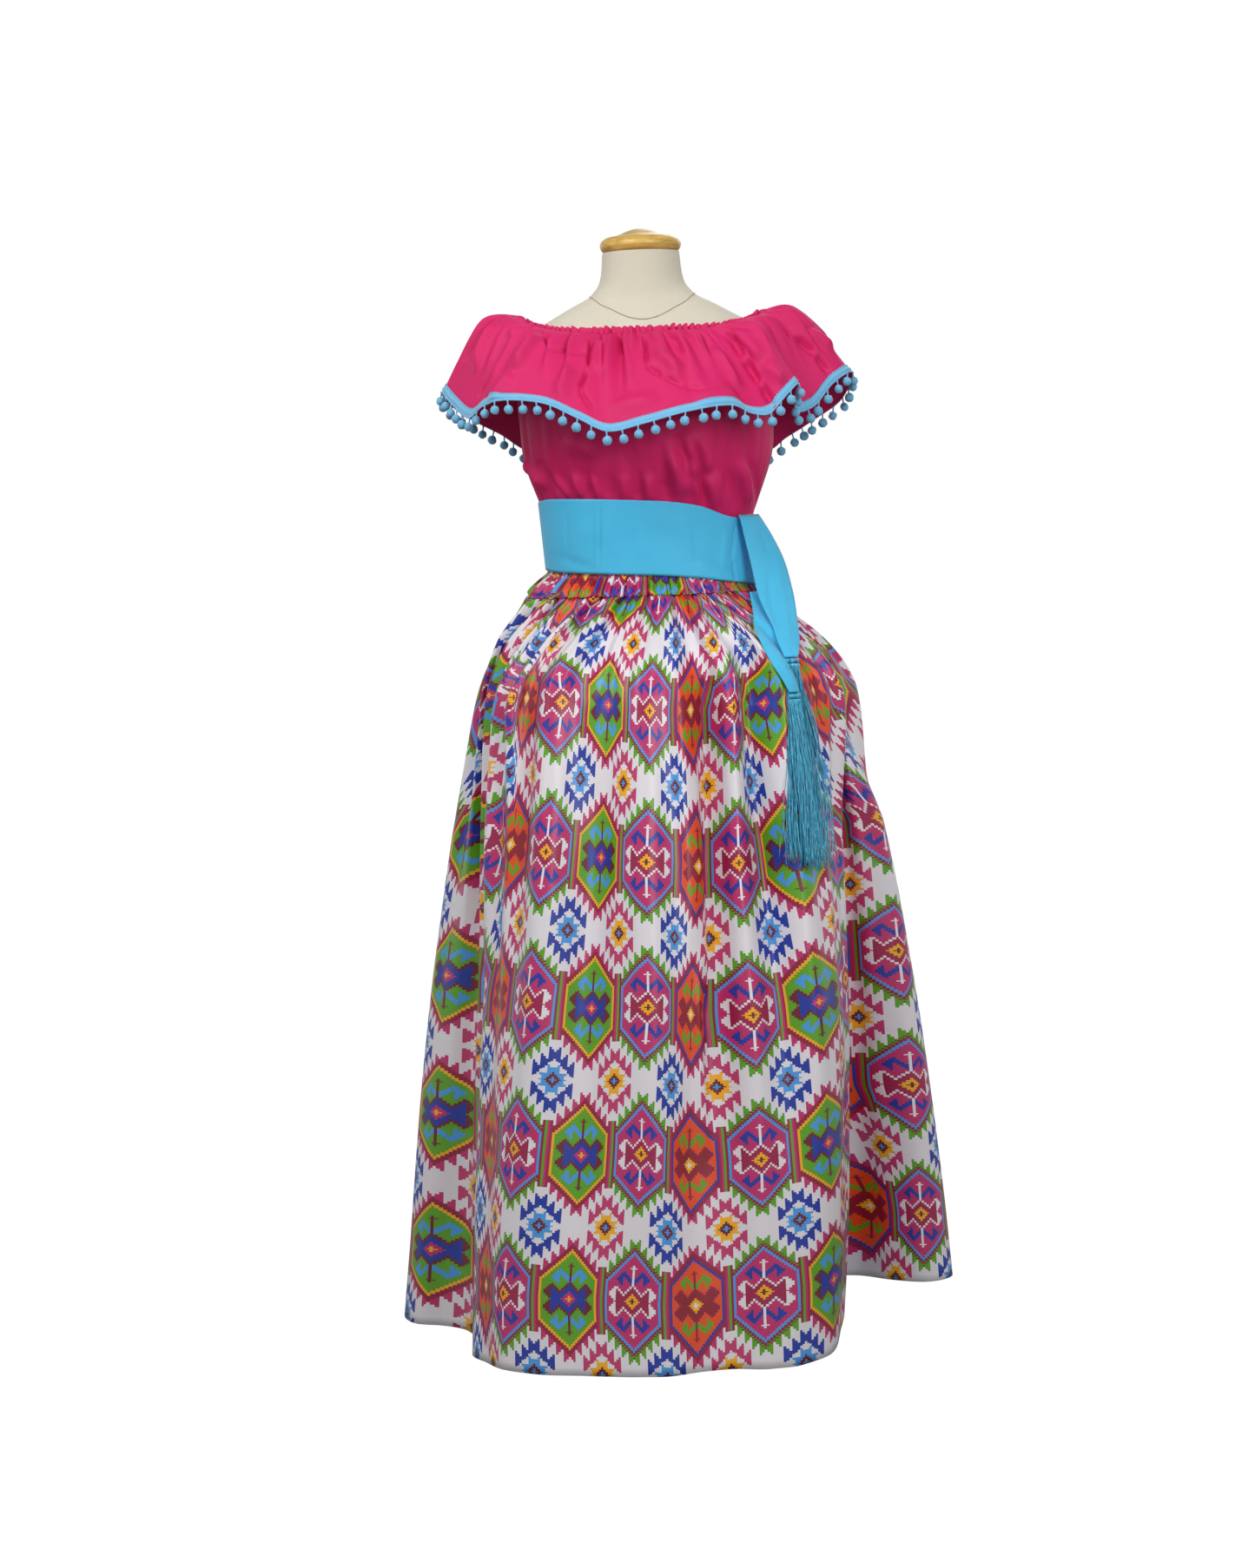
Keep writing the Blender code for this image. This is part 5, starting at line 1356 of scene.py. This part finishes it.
def fringe(name, edge, rows, off, skirt_points, material, seed):
    """Knotted band under a sash end, with fine strands that hang from its knots."""
    random = np.random.default_rng(seed)
    heap = Heap()
    table = rows * TURNED[:len(rows[0])]
    top = edge[:, 2].mean() - SEAM * 3
    ends = []
    marks = np.linspace(0.04, 0.96, KNOTS)
    for level, shift in enumerate((0.0, 0.5 / KNOTS)):
        z = top - KNOT_DROP - level * KNOT_STEP
        for mark in marks:
            share = min(mark + shift, 0.98)
            spot = np.array([np.interp(share, np.linspace(0, 1, len(edge)), edge[:, k]) for k in range(3)])
            spot[2] = z
            spot[1] = min(spot[1], skirt_front_y(skirt_points, spot[0], z) - off + 0.005)
            points, faces = ball_points(random, 5, 6)
            heap.add(points * KNOT_SIZE + spot, faces)
            if level == 1:
                ends.append(spot)
    for number in range(FRINGE_STRANDS):
        share = (number + 0.5) / FRINGE_STRANDS
        start = ends[min(int(share * KNOTS), KNOTS - 1)]
        aside = (share * 2.0 - 1.0) * 1.1 + random.uniform(-0.4, 0.4)
        wave = random.uniform(*STRAND_WAVE)
        phase = random.uniform(0.0, TAU)
        reach = random.uniform(0.90, 1.0)
        bottom = rows[-1, 0] + (1.0 - reach) * 0.2
        levels = np.linspace(start[2], bottom - 0.010, 18)
        line = []
        for i, z in enumerate(levels):
            part = i / (len(levels) - 1)
            x = float(smooth(table, -z, 1)) + aside * float(smooth(table, -z, 2)) * 1.05
            x = start[0] + (x - start[0]) * min(part * 4.0, 1.0)
            x += wave * math.sin(phase + 6.0 * part) * part
            y = skirt_front_y(skirt_points, x, z) - off + 0.0055 + random.uniform(-0.0006, 0.0006)
            y = start[1] + (y - start[1]) * min(part * 4.0, 1.0)
            y += 0.0026 * math.sin(phase * 2.0 + 4.0 * part)
            line.append((x, y, z))
        heap.add(*tube(line, np.linspace(*STRAND_RADII, len(line)), 3))
    piece = heap.piece("strands_" + name)
    place(piece, material, "turquoise_ribbon", name)
    return piece


def floor():
    """A plain pale floor, wide enough for every view, lit evenly like a light table."""
    turn = TAU * np.arange(64) / 64
    rim = np.stack([FLOOR_REACH * np.cos(turn), FLOOR_REACH * np.sin(turn), 0.0 * turn], axis=-1)
    thing = add_mesh("floor", rim, [list(range(64))])
    look = Look("pale_floor")
    values = {
        "Base Color": (0.10, 0.10, 0.10, 1.0), "Roughness": 0.9, "Specular IOR Level": 0.0,
        "Emission Color": (1.0, 1.0, 1.0, 1.0), "Emission Strength": 1.0,
    }
    for name, value in values.items():
        look.shader.inputs[name].default_value = value
    thing.data.materials.append(look.material)
    thing.visible_diffuse = False
    thing.visible_glossy = False


def soft_light(name, spot, target, wide, tall, power, spread):
    light = bpy.data.lights.new(name, "AREA")
    light.shape = "RECTANGLE"
    light.size = wide
    light.size_y = tall
    light.energy = power
    light.spread = math.radians(spread)
    thing = bpy.data.objects.new(name, light)
    thing.location = spot
    thing.visible_camera = False
    thing.rotation_mode = "QUATERNION"
    thing.rotation_quaternion = (Vector(target) - Vector(spot)).to_track_quat("-Z", "Y")
    bpy.context.scene.collection.objects.link(thing)


def studio():
    """A white room that is dim below and above, with a large soft light over the front."""
    world = bpy.data.worlds.new("pale_room")
    world.use_nodes = True
    tree = world.node_tree
    _, (_, _, rise) = coordinates(tree, "Generated")
    ramp = tree.nodes.new("ShaderNodeValToRGB")
    stops = ramp.color_ramp.elements
    for number, (at, level) in enumerate(ROOM_LEVELS):
        stop = stops[number] if number < 2 else stops.new(at)
        stop.position = at
        stop.color = (level, level, level, 1.0)
    tree.links.new((rise * 0.5 + 0.5).socket, ramp.inputs[0])
    tree.links.new(ramp.outputs[0], tree.nodes["Background"].inputs["Color"])
    bpy.context.scene.world = world
    bpy.context.scene.view_settings.view_transform = "Standard"
    for row in SOFT_LIGHTS:
        soft_light(*row)


def camera():
    """The photograph's view: in front, a little above the waist, tipped down and rolled a little."""
    tilt, roll = math.radians(CAMERA_TILT), math.radians(CAMERA_ROLL)
    right = Vector((1.0, 0.0, 0.0))
    ahead = Vector((0.0, math.cos(tilt), -math.sin(tilt)))
    up = right.cross(ahead)
    turned_right = right * math.cos(roll) + up * math.sin(roll)
    turned_up = up * math.cos(roll) - right * math.sin(roll)
    lens = bpy.data.cameras.new("camera")
    lens.sensor_fit = "AUTO"
    lens.sensor_width = 36.0
    lens.lens = LENS
    lens.clip_end = 60.0
    thing = bpy.data.objects.new("camera", lens)
    axes = Matrix((turned_right, turned_up, -ahead)).transposed()
    thing.matrix_world = Matrix.Translation(CAMERA_PLACE) @ axes.to_4x4()
    bpy.context.scene.collection.objects.link(thing)
    bpy.context.scene.camera = thing


def main():
    camera()
    studio()
    floor()
    satin, printed, ribbon = satin_cloth(), printed_satin(), ribbon_cloth()
    torso(linen())
    neck_thread(seam_thread())
    stand(wood(), steel())
    blouse(satin)
    neck_casing(satin)
    ruffle(satin, braid_cloth())
    skirt_casing(printed)
    skirt_points = skirt(printed)
    sash(ribbon)
    strands = strand_cloth()
    for end, rows, off, creases, cut, fringe_rows, seed in (
        ("front", TAIL_FRONT, TAIL_FRONT_OFF, FRONT_CREASES, FRONT_CUT, FRINGE_FRONT, 3),
        ("back", TAIL_BACK, TAIL_BACK_OFF, [], BACK_CUT, FRINGE_BACK, 4),
    ):
        tail, edge = sash_end("sash_tail_" + end, rows, off, skirt_points, ribbon, creases)
        hair = fringe("fringe_" + end, edge, fringe_rows, off, skirt_points, strands, seed)


main()
